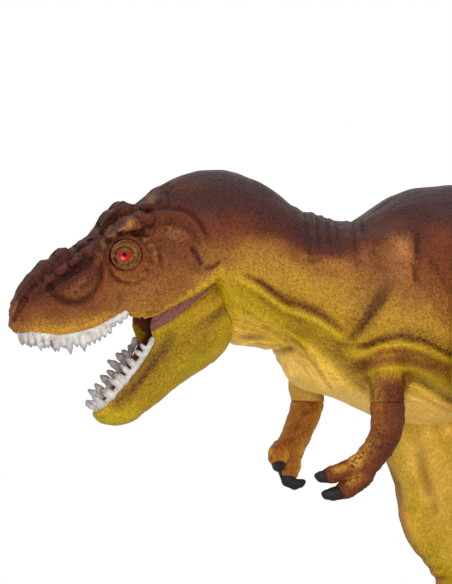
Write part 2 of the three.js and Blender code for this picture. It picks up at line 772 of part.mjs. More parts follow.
// The hollow moulded skin: upper head, neck and torso in one piece
function bodyShell() {
  const outer = skinLoft(skinStations(0), 24);
  let full = outer;
  for (const side of bothSides) {
    full = full.add(armStub(side));
    for (const row of bumpShares) {
      full = full.add(shareEgg(row, side));
    }
  }
  let shell = full.subtract(hollow());
  for (const side of bothSides) {
    shell = shell.add(hipCup(side).intersect(outer)).subtract(hipRecess(side));
    shell = shell.subtract(pegHole(hipSeam(side), new THREE.Vector3(0, side, 0), legPegRadius));
    shell = shell.subtract(armStubHollow(side));
    shell = shell.subtract(pegHole(armSeam(side), downward, armPegRadius));
    shell = shell.subtract(shareEgg(fenestraShares, side));
    shell = shell.subtract(shareEgg(nostrilShares, side, -nostrilLean));
    shell = shell.subtract(shareEgg(earShares, side));
    shell = shell.subtract(eyeSocket(side));
    shell = shell.subtract(jawPin(side, fitGap));
  }
  shell = shell.subtract(pegHole(tailSeam, rearward, tailPegRadius));
  shell = shell.subtract(mouthCavity());
  return shell.subtract(toothRow(upperGumLine(), downward, 0, 0, fitGap));
}

// Eyes: a domed button in a round socket
function eyeAxis(side) {
  const [forward, outward, rise] = eyeHeadingShares;
  return new THREE.Vector3(forward, side * outward, rise).normalize();
}

function eyeSocket(side) {
  const place = eyePlace(side);
  const axis = eyeAxis(side);
  const to = place.clone().addScaledVector(axis, cutOverrun);
  return rod(place, to, eyeRadius + fitGap, 18);
}

function eye(side) {
  const place = eyePlace(side);
  const axis = eyeAxis(side);
  const domeSteps = 5;
  const profile = [new THREE.Vector2(0, fitGap), new THREE.Vector2(eyeRadius, fitGap)];
  for (let step = 0; step <= domeSteps; step += 1) {
    const angle = (step / domeSteps) * (Math.PI / 2);
    profile.push(new THREE.Vector2(
      step === domeSteps ? 0 : eyeRadius * Math.cos(angle),
      eyeRimHeight + irisBulge * Math.sin(angle),
    ));
  }
  const geometry = new THREE.LatheGeometry(profile, 14);
  geometry.applyQuaternion(new THREE.Quaternion().setFromUnitVectors(new THREE.Vector3(0, 1, 0), axis));
  geometry.translate(place.x, place.y, place.z);
  return toSolid(geometry);
}

// Short pins on the hinge axis, each through one side wall of the jaw into the cheek
function jawPin(side, clearance) {
  const outer = jawPocketHalf + turnGap + jawPinRadius;
  const from = hingePlace.clone().setY(side * (jawPinInset - clearance));
  const to = hingePlace.clone().setY(side * (outer + clearance));
  return rod(from, to, jawPinRadius + clearance, 16);
}

function lowerJaw() {
  const chin = jawLoft(jawShares, jawLevelShare, 3, 2.2, 20);
  const throatStations = skinStations(-turnGap).slice(12, 22);
  let jaw = chin.add(jawLoft(jawWallShares, jawWallLevelShare, 5, 5, 16));
  jaw = jaw.subtract(jawChannel()).subtract(skinLoft(throatStations, 24));
  for (const side of bothSides) {
    jaw = jaw.subtract(jawPin(side, fitGap));
  }
  return jaw.subtract(toothRow(lowerGumLine(), jawRise, 0, 0, fitGap));
}

function tongue() {
  return loft(tongueShares.map(([ahead, half, thick]) => {
    const floor = jawFloorShare + fitGap / jawLength;
    const size = {
      halfWidth: half * jawLength,
      rise: (thick / 2) * jawLength,
      drop: (thick / 2) * jawLength,
      upperPower: 2.4,
      lowerPower: 2.4,
    };
    return ovalRing(jawPlace(ahead, floor + thick / 2), sideways, jawRise, size, 12);
  }));
}

// A finger with its claw, from the hand
function finger(start, ahead, size) {
  const bent = (from, far, length, droop) => from.clone()
    .addScaledVector(ahead, far * length)
    .addScaledVector(downward, Math.max(far, 0) ** 2 * droop * length);
  const places = fingerShares.map(([far]) => bent(start, far, size.length, fingerDroopShare));
  const last = places[places.length - 1];
  const clawPlaces = handClawShares.map(([far]) => bent(last, far, size.claw, clawDroopShare));
  const flesh = limb(places, fingerShares.map((row) => row[1] * size.radius), 10);
  return flesh.add(limb(clawPlaces, handClawShares.map((row) => row[1] * size.radius), 8));
}

function arm(side) {
  const rows = side < 0 ? leftArmShares : rightArmShares;
  const seam = armSeam(side);
  const places = rows.map(([forward, out, down]) => new THREE.Vector3(
    seam.x + height(forward),
    seam.y + side * height(out),
    seam.z - fitGap - height(down),
  ));
  const radii = rows.map((row) => height(row[3]));
  radii[0] = armSeamRadius;
  let solid = limb(places, radii, 16);
  const cutFrom = seam.clone().setZ(seam.z - fitGap);
  const cutTo = cutFrom.clone().setZ(cutFrom.z + cutOverrun);
  solid = solid.subtract(rod(cutFrom, cutTo, cutOverrun, 20));
  const wrist = places[places.length - 2];
  const size = {
    length: height(fingerLengthShare),
    radius: height(fingerRadiusShare),
    claw: height(handClawLengthShare),
  };
  for (const [forward, out, rise] of side < 0 ? leftFingerShares : rightFingerShares) {
    const ahead = new THREE.Vector3(forward, side * out, rise).normalize();
    solid = solid.add(finger(wrist, ahead, size));
  }
  return solid.subtract(pegBore(seam, downward, armPegRadius, armPegDepth));
}

// A toe with a flat sole and its claw
function toe(start, heading, lengthScale) {
  const ahead = new THREE.Vector3(-Math.cos(heading), Math.sin(heading), 0);
  const side = new THREE.Vector3(Math.sin(heading), Math.cos(heading), 0);
  const length = toeLength * lengthScale;
  const flesh = loft(toeShares.map(([far, wide, high]) => {
    const size = {
      halfWidth: (toeWidth / 2) * wide,
      rise: toeHeight * high * toeUpperShare,
      drop: toeHeight * high * (1 - toeUpperShare),
      upperPower: 2,
      lowerPower: 5,
    };
    const centre = start.clone().addScaledVector(ahead, far * length).setZ(size.drop);
    return ovalRing(centre, side, upward, size, 10);
  }));
  const claw = loft(toeClawShares.map(([far, thick, level]) => {
    const radius = toeHeight * thick;
    const centre = start.clone().addScaledVector(ahead, length + far * clawLength);
    centre.setZ(Math.max(toeHeight * level, radius));
    return ovalRing(centre, side, upward, roundSize(radius), 6);
  }));
  return flesh.add(claw);
}

function leg(side) {
  const stride = side < 0 ? along(leftStrideShare) : 0;
  const shift = (z) => stride * (1 - z / height(hipHeightShare));
  const rings = legShares.map(([rise, place, reach, out, half]) => {
    const z = height(rise);
    const centre = new THREE.Vector3(along(place) + Math.max(shift(z), 0), side * across(out), z);
    const size = { ...roundSize(across(half), along(reach)), upperPower: 2.2, lowerPower: 2.2 };
    return ovalRing(centre, rearward, sideways, size, 18);
  });
  let solid = loft(rings).subtract(sweptTorso(side));
  const seam = hipSeam(side);
  const out = new THREE.Vector3(0, side, 0);
  const bossFrom = seam.clone().addScaledVector(out, fitGap);
  const bossTo = seam.clone().setY(side * across(legShares[3][3]));
  solid = solid.add(rod(bossFrom, bossTo, legSeamRadius, 28));
  const soleRow = legShares[legShares.length - 1];
  const ball = new THREE.Vector3(along(soleRow[1]) + shift(0), side * across(soleRow[3]), 0);
  for (const [heading, lengthScale] of footShares) {
    solid = solid.add(toe(ball, heading * toeSpread * side, lengthScale));
  }
  solid = solid.subtract(legHollow(rings));
  return solid.subtract(pegBore(seam, out, legPegRadius, legBoreDepth));
}

// The space that the torso needs while the leg turns on its peg
function sweptTorso(side) {
  const seam = hipSeam(side);
  const stations = skinStations(-sweepGap).filter((size) => size.x > along(leftArmAlongShare));
  const steps = 8;
  let space = null;
  for (let step = 0; step <= steps; step += 1) {
    const angle = THREE.MathUtils.mapLinear(step, 0, steps, -legSwing, legSwing);
    const rings = stations.map((size) => {
      const centre = new THREE.Vector3(size.x, 0, size.level);
      const ring = ovalRing(centre, sideways, upward, size, 16);
      return ring.map((point) => point.sub(seam).applyAxisAngle(sideways, angle).add(seam));
    });
    const turned = loft(rings);
    space = space ? space.add(turned) : turned;
  }
  return space;
}

// The hollow of a leg from the thigh to the ankle, open to the peg's bore
function legHollow(rings) {
  const thighRing = 2;
  const ankleRing = 10;
  return loft(rings.slice(thighRing, ankleRing).map((ring) => {
    const centre = ringCentre(ring);
    return ring.filter((point, index) => index % 2 === 0).map((point) => {
      const reach = point.clone().sub(centre);
      return centre.clone().add(reach.setLength(Math.max(reach.length() - limbWall, limbWall)));
    });
  }));
}

function tail() {
  const rings = tailShares.map(([place, rise, tall, half, bend], index) => {
    const x = along(place) + (index === 0 ? fitGap : 0);
    const centre = new THREE.Vector3(x, across(bend), height(rise));
    return ovalRing(centre, sideways, upward, roundSize(across(tall), across(half)), 24);
  });
  const lastHollowRow = 7;
  const inside = tailShares.slice(1, lastHollowRow).map(([place, rise, tall, half, bend], index) => {
    const x = index === 0 ? tailSeam.x + limbWall : along(place);
    const centre = new THREE.Vector3(x, across(bend), height(rise));
    const size = roundSize(across(tall) - tailWall, across(half) - tailWall);
    return ovalRing(centre, sideways, upward, size, 14);
  });
  return loft(rings).subtract(loft(inside)).subtract(pegBore(tailSeam, rearward, tailPegRadius, pegDepth));
}

const figure = new THREE.Group();
const pieces = [
  ['body_shell', bodyShell(), vinylSkin],
  ['lower_jaw', lowerJaw(), vinylJaw],
  ['upper_teeth', toothRow(upperGumLine(), downward, upperToothCount, upperToothLength, 0), ivory],
  ['lower_teeth', toothRow(lowerGumLine(), jawRise, lowerToothCount, lowerToothLength, 0), ivory],
  ['tongue', tongue(), mauve],
  ['left_jaw_pin', jawPin(-1, 0), pinSteel],
  ['right_jaw_pin', jawPin(1, 0), pinSteel],
  ['left_eye', eye(-1), eyeRed],
  ['right_eye', eye(1), eyeRed],
  ['left_arm', arm(-1), vinylLimb],
  ['right_arm', arm(1), vinylLimb],
  ['left_arm_peg', peg(armSeam(-1), downward, armPegRadius, armFlangeRadius, armPegDepth), pegGrey],
  ['right_arm_peg', peg(armSeam(1), downward, armPegRadius, armFlangeRadius, armPegDepth), pegGrey],
  ['left_leg', leg(-1), vinylLeg],
  ['right_leg', leg(1), vinylLeg],
  ['left_leg_peg', peg(hipSeam(-1), new THREE.Vector3(0, -1, 0), legPegRadius, legFlangeRadius, pegDepth),
    pegGrey],
  ['right_leg_peg', peg(hipSeam(1), new THREE.Vector3(0, 1, 0), legPegRadius, legFlangeRadius, pegDepth),
    pegGrey],
  ['tail', tail(), vinylSkin],
  ['tail_peg', peg(tailSeam, rearward, tailPegRadius, tailFlangeRadius, pegDepth), pegGrey],
];
for (const [name, body, material] of pieces) {
  figure.add(toMesh(name, body, material));
}

// Origin under the middle of the figure's bounds
const bounds = new THREE.Box3().setFromObject(figure);
const middle = bounds.getCenter(new THREE.Vector3());
figure.position.set(-middle.x, -middle.y, -bounds.min.z);
figure.updateMatrixWorld(true);

export default figure;
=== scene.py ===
"""Looks of a large soft vinyl toy dinosaur, built round its packed construction frame."""

import math

import bpy
import numpy as np
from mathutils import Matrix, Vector


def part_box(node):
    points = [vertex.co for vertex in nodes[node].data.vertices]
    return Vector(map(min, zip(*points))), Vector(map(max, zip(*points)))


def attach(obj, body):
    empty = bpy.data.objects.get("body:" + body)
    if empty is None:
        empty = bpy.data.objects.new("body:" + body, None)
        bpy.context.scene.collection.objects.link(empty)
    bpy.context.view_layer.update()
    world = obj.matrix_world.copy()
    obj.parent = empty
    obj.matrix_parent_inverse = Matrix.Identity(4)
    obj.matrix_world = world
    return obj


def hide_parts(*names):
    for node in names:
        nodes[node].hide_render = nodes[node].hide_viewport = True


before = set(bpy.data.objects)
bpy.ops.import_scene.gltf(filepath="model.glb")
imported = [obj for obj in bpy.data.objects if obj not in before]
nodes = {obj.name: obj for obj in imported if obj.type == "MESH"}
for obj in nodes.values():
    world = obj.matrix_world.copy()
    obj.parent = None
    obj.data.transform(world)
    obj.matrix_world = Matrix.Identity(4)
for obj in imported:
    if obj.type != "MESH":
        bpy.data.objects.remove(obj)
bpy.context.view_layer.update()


def read(text):
    """Rows of a number table, split at line ends and bars; numbers joined by commas are one place or colour."""
    rows = [row.split() for row in text.replace("|", "\n").splitlines()]
    return [[tuple(map(float, word.split(","))) if "," in word else float(word) for word in row]
            for row in rows if row]


# ---------------------------------------------------------------- measures
# Millimetres, from the snout end; the side view grid has one square per 0.55 mm.
LENGTH, HEIGHT, WIDTH = 560.0, 294.0, 104.0
MIDDLE = 0.014 * LENGTH - 1000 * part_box("body_shell")[0][0]
GRID = 0.55
GROUND_ROW = 705.0
TURN = math.radians(18)
JAW_LENGTH, JAW_WIDTH = 99.0, 55.0
JAW_SLOPE = math.radians(52)
JAW_ROOT = np.array([0.2125 * LENGTH, 0.0, 0.803 * HEIGHT])
JAW_AHEAD = np.array([-math.cos(JAW_SLOPE), 0.0, -math.sin(JAW_SLOPE)])
JAW_RISE = np.array([-math.sin(JAW_SLOPE), 0.0, math.cos(JAW_SLOPE)])
HINGE = np.array([0.218 * LENGTH, 0.0, 0.824 * HEIGHT])
HINGE_BOSS = 10.4

# Skin: along, top, bottom, half width, widest level, power of the lower half
SKIN = read("""
.0125 .73 .716 .02 .723 2 | .014 .741 .707 .045 .722 2 | .018 .773 .702 .077 .731 2.4 | .025 .795 .698 .103 .73 3
.039 .825 .693 .132 .73 4 | .057 .838 .69 .162 .733 4.5 | .075 .85 .696 .188 .746 4.5 | .089 .864 .704 .21 .763 4.5
.104 .889 .719 .232 .779 4.5 | .116 .914 .731 .252 .793 4.5 | .125 .925 .718 .264 .797 4.5
.139 .935 .712 .284 .799 4.5 | .154 .954 .724 .303 .804 4.5 | .171 .974 .745 .322 .816 4.5
.189 .99 .765 .337 .827 4.5 | .207 .999 .79 .346 .837 4 | .218 1 .722 .351 .837 2.4 | .229 1 .687 .351 .837 2.2
.243 .995 .674 .346 .827 2.1 | .264 .979 .67 .332 .816 2.1 | .282 .956 .667 .327 .803 2.1
.293 .942 .655 .337 .793 2.1 | .3 .932 .615 .346 .776 2.1 | .307 .925 .6 .361 .762 2.1 | .321 .918 .587 .385 .748 2.2
.343 .907 .577 .418 .738 2.2 | .364 .903 .564 .447 .728 2.2 | .382 .922 .545 .471 .724 2.3
.404 .95 .533 .488 .724 2.3 | .429 .967 .526 .5 .728 2.3 | .468 .973 .53 .485 .735 2.3 | .509 .968 .551 .455 .745 2.2
.554 .95 .588 .418 .759 2.1 | .589 .926 .619 .394 .77 2 | .616 .904 .64 .373 .772 2
""")
# Mouth roof: along, height, half width
MOUTH = read("""
.03 .709 .05 | .04 .715 .078 | .057 .722 .108 | .075 .733 .128 | .089 .745 .145 | .106 .768 .165 | .118 .79 .19
.131 .807 .222 | .148 .818 .25 | .168 .828 .272 | .189 .842 .281 | .207 .854 .281
""")
# Jaw: along it, top, bottom, half width
JAW = read("""
.03 .02 -.1 .46 | .09 .04 -.22 .49 | .17 .05 -.305 .5 | .26 .066 -.335 .48 | .36 .08 -.32 .428 | .46 .08 -.285 .365
.55 .046 -.252 .32 | .66 .036 -.22 .283 | .78 .036 -.195 .25 | .88 .036 -.165 .215 | .95 .038 -.13 .17
.99 .04 -.09 .12 | 1.01 .02 -.04 .045 | 1.016 .002 -.018 .015
""")
JAW_WALL = read("""
-.137 .03 -.004 .43 | -.12 .055 -.03 .44 | -.07 .082 -.058 .45 | .01 .088 -.07 .45 | .1 .095 -.09 .455
.22 .118 -.1 .45 | .32 .15 -.1 .415 | .4 .17 -.09 .375 | .46 .13 -.08 .335 | .5 .06 -.08 .29
""")
JAW_FLOOR = -0.045
# Legs: height, along, fore-and-aft half size, side place, sideways half size
LEG = read("""
0 .48 .034 .5 .16 | .035 .484 .038 .5 .18 | .08 .494 .029 .5 .145 | .13 .506 .024 .505 .11 | .19 .514 .0235 .51 .1
.24 .508 .025 .515 .1 | .31 .49 .034 .525 .12 | .38 .484 .041 .535 .145 | .45 .477 .046 .545 .165
.52 .478 .054 .555 .19 | .6 .487 .065 .565 .215 | .68 .499 .074 .565 .225 | .76 .509 .078 .55 .215
.83 .512 .072 .51 .18 | .875 .513 .055 .455 .12 | .893 .513 .03 .43 .06
""")
HIP = np.array([0.509 * LENGTH, 0.385 * WIDTH, 0.757 * HEIGHT])
HIP_RADIUS = 37.0
STRIDE = 0.048 * LENGTH
# Tail: along, level, half height and half width (shares of the torso width), sideways curve
TAIL = read("""
.616 .772 .373 .373 0 | .65 .768 .345 .34 0 | .695 .76 .3 .288 -.01 | .745 .752 .245 .228 -.03 | .8 .748 .19 .172 -.06
.855 .75 .142 .126 -.09 | .905 .757 .1 .088 -.12 | .95 .769 .062 .054 -.14 | .982 .781 .034 .03 -.15
1 .788 .006 .006 -.154
""")
ARM_SEAM = {-1: 0.3725, 1: 0.3435}
SLEEVE_RADIUS = {-1: 8.9, 1: 8.5}


# ---------------------------------------------------------------- fields
def table(rows, scales, soft, step=0.5):
    """Samples a share table along its first column and softens its corners."""
    rows = np.array(rows) * np.array(scales, dtype=float)
    at = np.arange(rows[0, 0], rows[-1, 0] + step / 2, step)
    reach = int(4 * soft / step)
    weights = np.exp(-0.5 * (np.arange(-reach, reach + 1) * step / soft) ** 2)
    weights /= weights.sum()
    columns = [at]
    for column in range(1, rows.shape[1]):
        values = np.interp(at, rows[:, 0], rows[:, column])
        padded = np.concatenate([2 * values[0] - values[reach:0:-1], values, 2 * values[-1] - values[-2:-reach - 2:-1]])
        columns.append(np.convolve(padded, weights, mode="valid"))
    return columns


def sections(along, across, up, centre, level, rise, drop, half, upper_power, lower_power):
    """How far a point lies outside a squarish oval section, measured along the radius."""
    height = up - level
    above = height >= 0
    power = np.where(above, upper_power, lower_power)
    out = np.abs(across - centre)
    ratio = ((out / half) ** power + (np.abs(height) / np.where(above, rise, drop)) ** power) ** (1 / power)
    radius = np.hypot(out, height)
    return radius - radius / np.maximum(ratio, 1e-4)


def join(first, second, blend=0.0):
    """Union of two fields with a rounded inner corner."""
    if blend == 0:
        return np.minimum(first, second)
    share = np.clip(0.5 + 0.5 * (second - first) / blend, 0, 1)
    return second * (1 - share) + first * share - blend * share * (1 - share)


def cut(first, second, blend):
    return -join(-first, second, blend)


def between(value, low, high):
    """Field of the slab from low to high."""
    return np.maximum(low - value, value - high)


def round_cone(X, Y, Z, start, end, start_radius, end_radius):
    line = np.array(end, float) - np.array(start, float)
    gaps = [value - place for value, place in zip((X, Y, Z), start)]
    share = np.clip(sum(gap * step for gap, step in zip(gaps, line)) / (line @ line), 0, 1)
    gap = np.sqrt(sum((gap - share * step) ** 2 for gap, step in zip(gaps, line)))
    return gap - (start_radius + share * (end_radius - start_radius))


class Cones:
    """Rounded cones joined one after the other."""

    def __init__(self, blend):
        self.blend = blend
        self.list = []

    def chain(self, places, radii):
        places = [np.array(place, float) for place in places]
        self.list += zip(places[:-1], places[1:], radii[:-1], radii[1:])

    def box(self):
        ends = np.array([place for cone in self.list for place in cone[:2]])
        return ends.min(axis=0), ends.max(axis=0)

    def field(self, X, Y, Z):
        total = None
        for cone in self.list:
            value = round_cone(X, Y, Z, *cone)
            total = value if total is None else join(total, value, self.blend)
        return total

    def values(self, axes):
        """The field over a grid, worked out only near each cone."""
        total = np.full(tuple(len(axis) for axis in axes), 9.0)
        for start, end, first, last in self.list:
            reach = max(first, last) + 3.0 + self.blend
            part = tuple(slice(int(np.searchsorted(axes[d], min(start[d], end[d]) - reach)),
                               int(np.searchsorted(axes[d], max(start[d], end[d]) + reach))) for d in range(3))
            near = np.ix_(*(axes[d][part[d]] for d in range(3)))
            total[part] = join(total[part], round_cone(*near, start, end, first, last), self.blend)
        return total.astype(np.float32)


def egg(X, Y, Z, centre, radii):
    gaps = [(value - place, radius) for value, place, radius in zip((X, Y, Z), centre, radii)]
    near = np.sqrt(sum((gap / radius) ** 2 for gap, radius in gaps))
    slope = np.sqrt(sum((gap / radius ** 2) ** 2 for gap, radius in gaps))
    return near * (near - 1) / np.maximum(slope, 1e-6)


def spans(*ranges):
    """One grid axis from several ranges with their own steps."""
    return np.concatenate([np.arange(*part) for part in ranges])


def surface(field, axes, rounds=2, values=None):
    """Mesh of the zero level of a field: points, outward normals and four-sided faces."""
    if values is None:
        values = np.broadcast_to(field(*np.ix_(*axes)), tuple(len(axis) for axis in axes)).astype(np.float32)
    inside = values < 0
    count = np.zeros(tuple(size - 1 for size in values.shape), dtype=np.int8)
    corners = [(i, j, k) for i in (0, 1) for j in (0, 1) for k in (0, 1)]
    for i, j, k in corners:
        count += inside[i:i + count.shape[0], j:j + count.shape[1], k:k + count.shape[2]]
    cells = np.argwhere((count > 0) & (count < 8))
    total = np.zeros((len(cells), 3))
    hits = np.zeros(len(cells))
    for first in corners:
        for axis in range(3):
            if first[axis]:
                continue
            second = tuple(first[a] + (a == axis) for a in range(3))
            a = values[tuple((cells + first).T)].astype(float)
            b = values[tuple((cells + second).T)].astype(float)
            cross = (a < 0) != (b < 0)
            share = np.where(cross, a / np.where(cross, a - b, 1), 0)
            for d in range(3):
                total[:, d] += np.where(cross, first[d] + (share if d == axis else 0), 0)
            hits += cross
    place = total / hits[:, None]
    points = np.empty((len(cells), 3))
    for d in range(3):
        low = axes[d][cells[:, d]]
        points[:, d] = low + place[:, d] * (axes[d][cells[:, d] + 1] - low)
    number = np.full(count.shape, -1, dtype=np.int64)
    number[tuple(cells.T)] = np.arange(len(cells))
    faces = []
    for axis in range(3):
        low, high = [slice(None)] * 3, [slice(None)] * 3
        low[axis], high[axis] = slice(0, -1), slice(1, None)
        a, b = inside[tuple(low)], inside[tuple(high)]
        others = [d for d in range(3) if d != axis]
        for flip in (False, True):
            edge = np.argwhere((~a & b) if flip else (a & ~b))
            edge = edge[np.all([(edge[:, d] > 0) & (edge[:, d] < values.shape[d] - 1) for d in others], axis=0)]
            ring = []
            for du, dv in ((1, 1), (0, 1), (0, 0), (1, 0)):
                cell = edge.copy()
                cell[:, others[0]] -= du
                cell[:, others[1]] -= dv
                ring.append(number[tuple(cell.T)])
            ring = np.array(ring).T
            faces.append(ring[:, ::-1] if flip != (axis == 1) else ring)
    for _ in range(rounds):
        points, normals = pull(field, points)
    return points, normals, np.concatenate(faces)


def pull(field, points, reach=0.4, small=0.05):
    """Moves points onto the zero level and gives the outward direction there."""
    here = field(*points.T)
    slope = np.empty_like(points)
    for d in range(3):
        step = np.zeros(3)
        step[d] = small
        slope[:, d] = (field(*(points + step).T) - field(*(points - step).T)) / (2 * small)
    length = np.linalg.norm(slope, axis=1)
    normals = slope / np.maximum(length, 1e-6)[:, None]
    return points - normals * np.clip(here / np.maximum(length, 0.3), -reach, reach)[:, None], normals


# ---------------------------------------------------------------- side view drawing
def side_view(points):
    """Place of each point on the side view grid, the same for both sides of the figure."""
    across = points[:, 0] * math.cos(TURN) + np.abs(points[:, 1]) * math.sin(TURN)
    return np.stack([across / GRID, GROUND_ROW - points[:, 2] / GRID], axis=1)


def stroke(view, width, line):
    """Soft line: 1 on the line, fading over the width; a place's third number is the strength there."""
    line = [tuple(point) + (1.0,) * (3 - len(point)) for point in line]
    best = np.zeros(len(view))
    for (x0, y0, s0), (x1, y1, s1) in zip(line[:-1], line[1:]):
        dx, dy = x1 - x0, y1 - y0
        share = np.clip(((view[:, 0] - x0) * dx + (view[:, 1] - y0) * dy) / (dx * dx + dy * dy), 0, 1)
        gap = (view[:, 0] - x0 - share * dx) ** 2 + (view[:, 1] - y0 - share * dy) ** 2
        best = np.maximum(best, (s0 + share * (s1 - s0)) * np.exp(-gap / (width * width)))
    return best


def oval(view, x, y, rx, ry, lean):
    """Squared distance from the middle of a leaning oval, 1 at its edge."""
    c, s = math.cos(math.radians(lean)), math.sin(math.radians(lean))
    u = ((view[:, 0] - x) * c + (view[:, 1] - y) * s) / rx
    v = ((view[:, 1] - y) * c - (view[:, 0] - x) * s) / ry
    return u * u + v * v


def blob(view, x, y, rx, ry, lean=0.0, power=1.0):
    """Soft oval spot, 1 in its middle."""
    return np.exp(-oval(view, x, y, rx, ry, lean) ** power)


def dome(view, x, y, rx, ry, lean=0.0):
    """Round-topped oval bump with a clear edge."""
    return np.clip(1 - oval(view, x, y, rx, ry, lean), 0, 1) ** 0.75


def relief(view, rows):
    """Height of a table's raised and sunk lines, in millimetres."""
    return sum(amount * stroke(view, width, line) for amount, width, *line in rows)


def drawn(mask, view, rows):
    """The mask with a table's strokes and spots over it where they are stronger."""
    for amount, first, *rest in rows:
        here = stroke(view, first, rest) if isinstance(rest[0], tuple) else blob(view, first, *rest)
        mask = np.maximum(mask, amount * here)
    return mask


def ripple(points, period, seed):
    """Smooth random unevenness, mostly between -1 and 1."""
    rng = np.random.default_rng(seed)
    total = np.zeros(len(points))
    for _ in range(9):
        way = rng.normal(size=3)
        way /= np.linalg.norm(way)
        turn = 2 * math.pi / (period * rng.uniform(0.7, 1.5))
        total += np.sin(points @ way * turn + rng.uniform(0, 6.3))
    return total / 4.0


def smooth_step(value, low, high):
    share = np.clip((value - low) / (high - low), 0, 1)
    return share * share * (3 - 2 * share)


def ridge(value, width):
    """Bell curve: 1 where the value is 0."""
    return np.exp(-(value / width) ** 2)


def creases(points, normals, faces, rounds=2):
    """How hollow (positive) or raised (negative) the surface is around each point, in millimetres."""
    ends = np.concatenate([faces[:, [0, 1]], faces[:, [1, 2]], faces[:, [2, 3]], faces[:, [3, 0]]])
    first, second = np.concatenate([ends[:, 0], ends[:, 1]]), np.concatenate([ends[:, 1], ends[:, 0]])
    count = np.maximum(np.bincount(first, minlength=len(points)), 1)

    def around(values):
        return np.bincount(first, weights=values[second], minlength=len(points)) / count

    wide = points
    for _ in range(3):
        wide = np.stack([around(wide[:, d]) for d in range(3)], 1)
    depth = ((wide - points) * normals).sum(axis=1)
    for _ in range(rounds):
        depth = 0.5 * depth + 0.5 * around(depth)
    return depth


# ---------------------------------------------------------------- meshes
def make_piece(name, points, faces, masks, material, body, replaced):
    """Mesh with its paint masks as point attributes; it rides on its body in place of the CAD nodes."""
    mesh = bpy.data.meshes.new(name)
    placed = (points - np.array([MIDDLE, 0, 0])) * 0.001
    mesh.from_pydata(placed.tolist(), [], faces.tolist() if hasattr(faces, "tolist") else faces)
    mesh.validate()
    for key, values in masks.items():
        layer = mesh.attributes.new(key, "FLOAT", "POINT")
        layer.data.foreach_set("value", np.asarray(values, dtype=np.float32))
    mesh.shade_smooth()
    mesh.update()
    mesh.materials.append(material)
    piece = bpy.data.objects.new(name, mesh)
    bpy.context.scene.collection.objects.link(piece)
    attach(piece, body)
    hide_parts(*replaced)


def side_name(side):
    return "left" if side < 0 else "right"


# ---------------------------------------------------------------- materials
class Nodes:
    """Adds shader nodes; an input is linked to a socket, or set to a number or colour."""

    def __init__(self, tree):
        self.tree = tree
        tree.nodes.clear()

    def link(self, value, socket):
        if isinstance(value, bpy.types.NodeSocket):
            self.tree.links.new(value, socket)
        else:
            socket.default_value = value

    def add(self, kind, inputs=None, **settings):
        node = self.tree.nodes.new("ShaderNode" + kind)
        for key, value in settings.items():
            setattr(node, key, value)
        for key, value in (inputs or {}).items():
            self.link(value, node.inputs[key])
        return node

    def maths(self, kind, first, second, clamp=False):
        return self.add("Math", {0: first, 1: second}, operation=kind, use_clamp=clamp).outputs[0]


class Paint(Nodes):
    """Material with one shader and textures in object coordinates."""

    def __init__(self, name):
        self.material = bpy.data.materials.new(name)
        self.material.use_nodes = True
        super().__init__(self.material.node_tree)
        self.shader = self.add("BsdfPrincipled")
        self.add("OutputMaterial", {0: self.shader.outputs[0]})
        self.place = self.add("TexCoord").outputs["Object"]

    def finish(self, inputs):
        for key, value in inputs.items():
            self.link(value, self.shader.inputs[key])
        return self.material

    def mask(self, key):
        return self.add("Attribute", attribute_name=key).outputs["Fac"]

    def noise(self, scale, detail, rough):
        inputs = {"Vector": self.place, "Scale": scale, "Detail": detail, "Roughness": rough, "Distortion": 0.0}
        return self.add("TexNoise", inputs).outputs["Fac"]

    def cells(self, scale):
        return self.add("TexVoronoi", {"Vector": self.place, "Scale": scale}, feature="F1").outputs["Distance"]

    def spread(self, value, low, high, start=0.0, end=1.0):
        inputs = {"Value": value, "From Min": low, "From Max": high, "To Min": start, "To Max": end}
        return self.add("MapRange", inputs).outputs["Result"]

    def ramp(self, value, stops):
        node = self.add("ValToRGB", {"Fac": value})
        elements = node.color_ramp.elements
        while len(elements) < len(stops):
            elements.new(0.5)
        for element, (at, colour) in zip(elements, stops):
            element.position = at
            element.color = (*colour, 1)
        return node.outputs["Color"]

    def mix(self, share, first, second, kind="MIX"):
        node = self.add("Mix", {"Factor": share}, data_type="RGBA", blend_type=kind)
        colours = [socket for socket in node.inputs if socket.type == "RGBA"]
        for value, socket in zip((first, second), colours):
            self.link(value if isinstance(value, bpy.types.NodeSocket) else (*value, 1), socket)
        return [socket for socket in node.outputs if socket.type == "RGBA"][0]

    def filter(self, share, colour, tint):
        """The colour, multiplied by the tint as far as the share goes."""
        return self.mix(share, colour, self.mix(1.0, colour, tint, "MULTIPLY"))

    def bump(self, height, depth, strength, below=None):
        inputs = {"Strength": strength, "Distance": depth, "Height": height}
        if below is not None:
            inputs["Normal"] = below
        return self.add("Bump", inputs).outputs["Normal"]


# Base paint from the back to the belly, and that of the arms: tone, colour
VINYL_STOPS = read("""
0 .05,.021,.021 | .14 .066,.021,.017 | .24 .115,.028,.012 | .34 .205,.062,.015 | .46 .33,.135,.024 | .58 .51,.27,.026
.7 .44,.26,.008 | .8 .48,.32,.008 | .9 .72,.45,.055 | 1 .98,.64,.13
""")
LIMB_STOPS = read("""
0 .09,.034,.018 | .22 .15,.046,.017 | .42 .225,.062,.015 | .6 .37,.13,.018 | .78 .52,.23,.03 | 1 .72,.39,.065
""")
DARK_PAINT = (0.080, 0.020, 0.012)
RUST_PAINT = (0.180, 0.044, 0.014)
TAN_PAINT = (0.420, 0.170, 0.050)
GREEN_PAINT = (0.540, 0.430, 0.012)
MAROON_PAINT = (0.240, 0.060, 0.035)
MAUVE_PAINT = (0.285, 0.110, 0.085)
CHARCOAL_PAINT = (0.020, 0.019, 0.018)


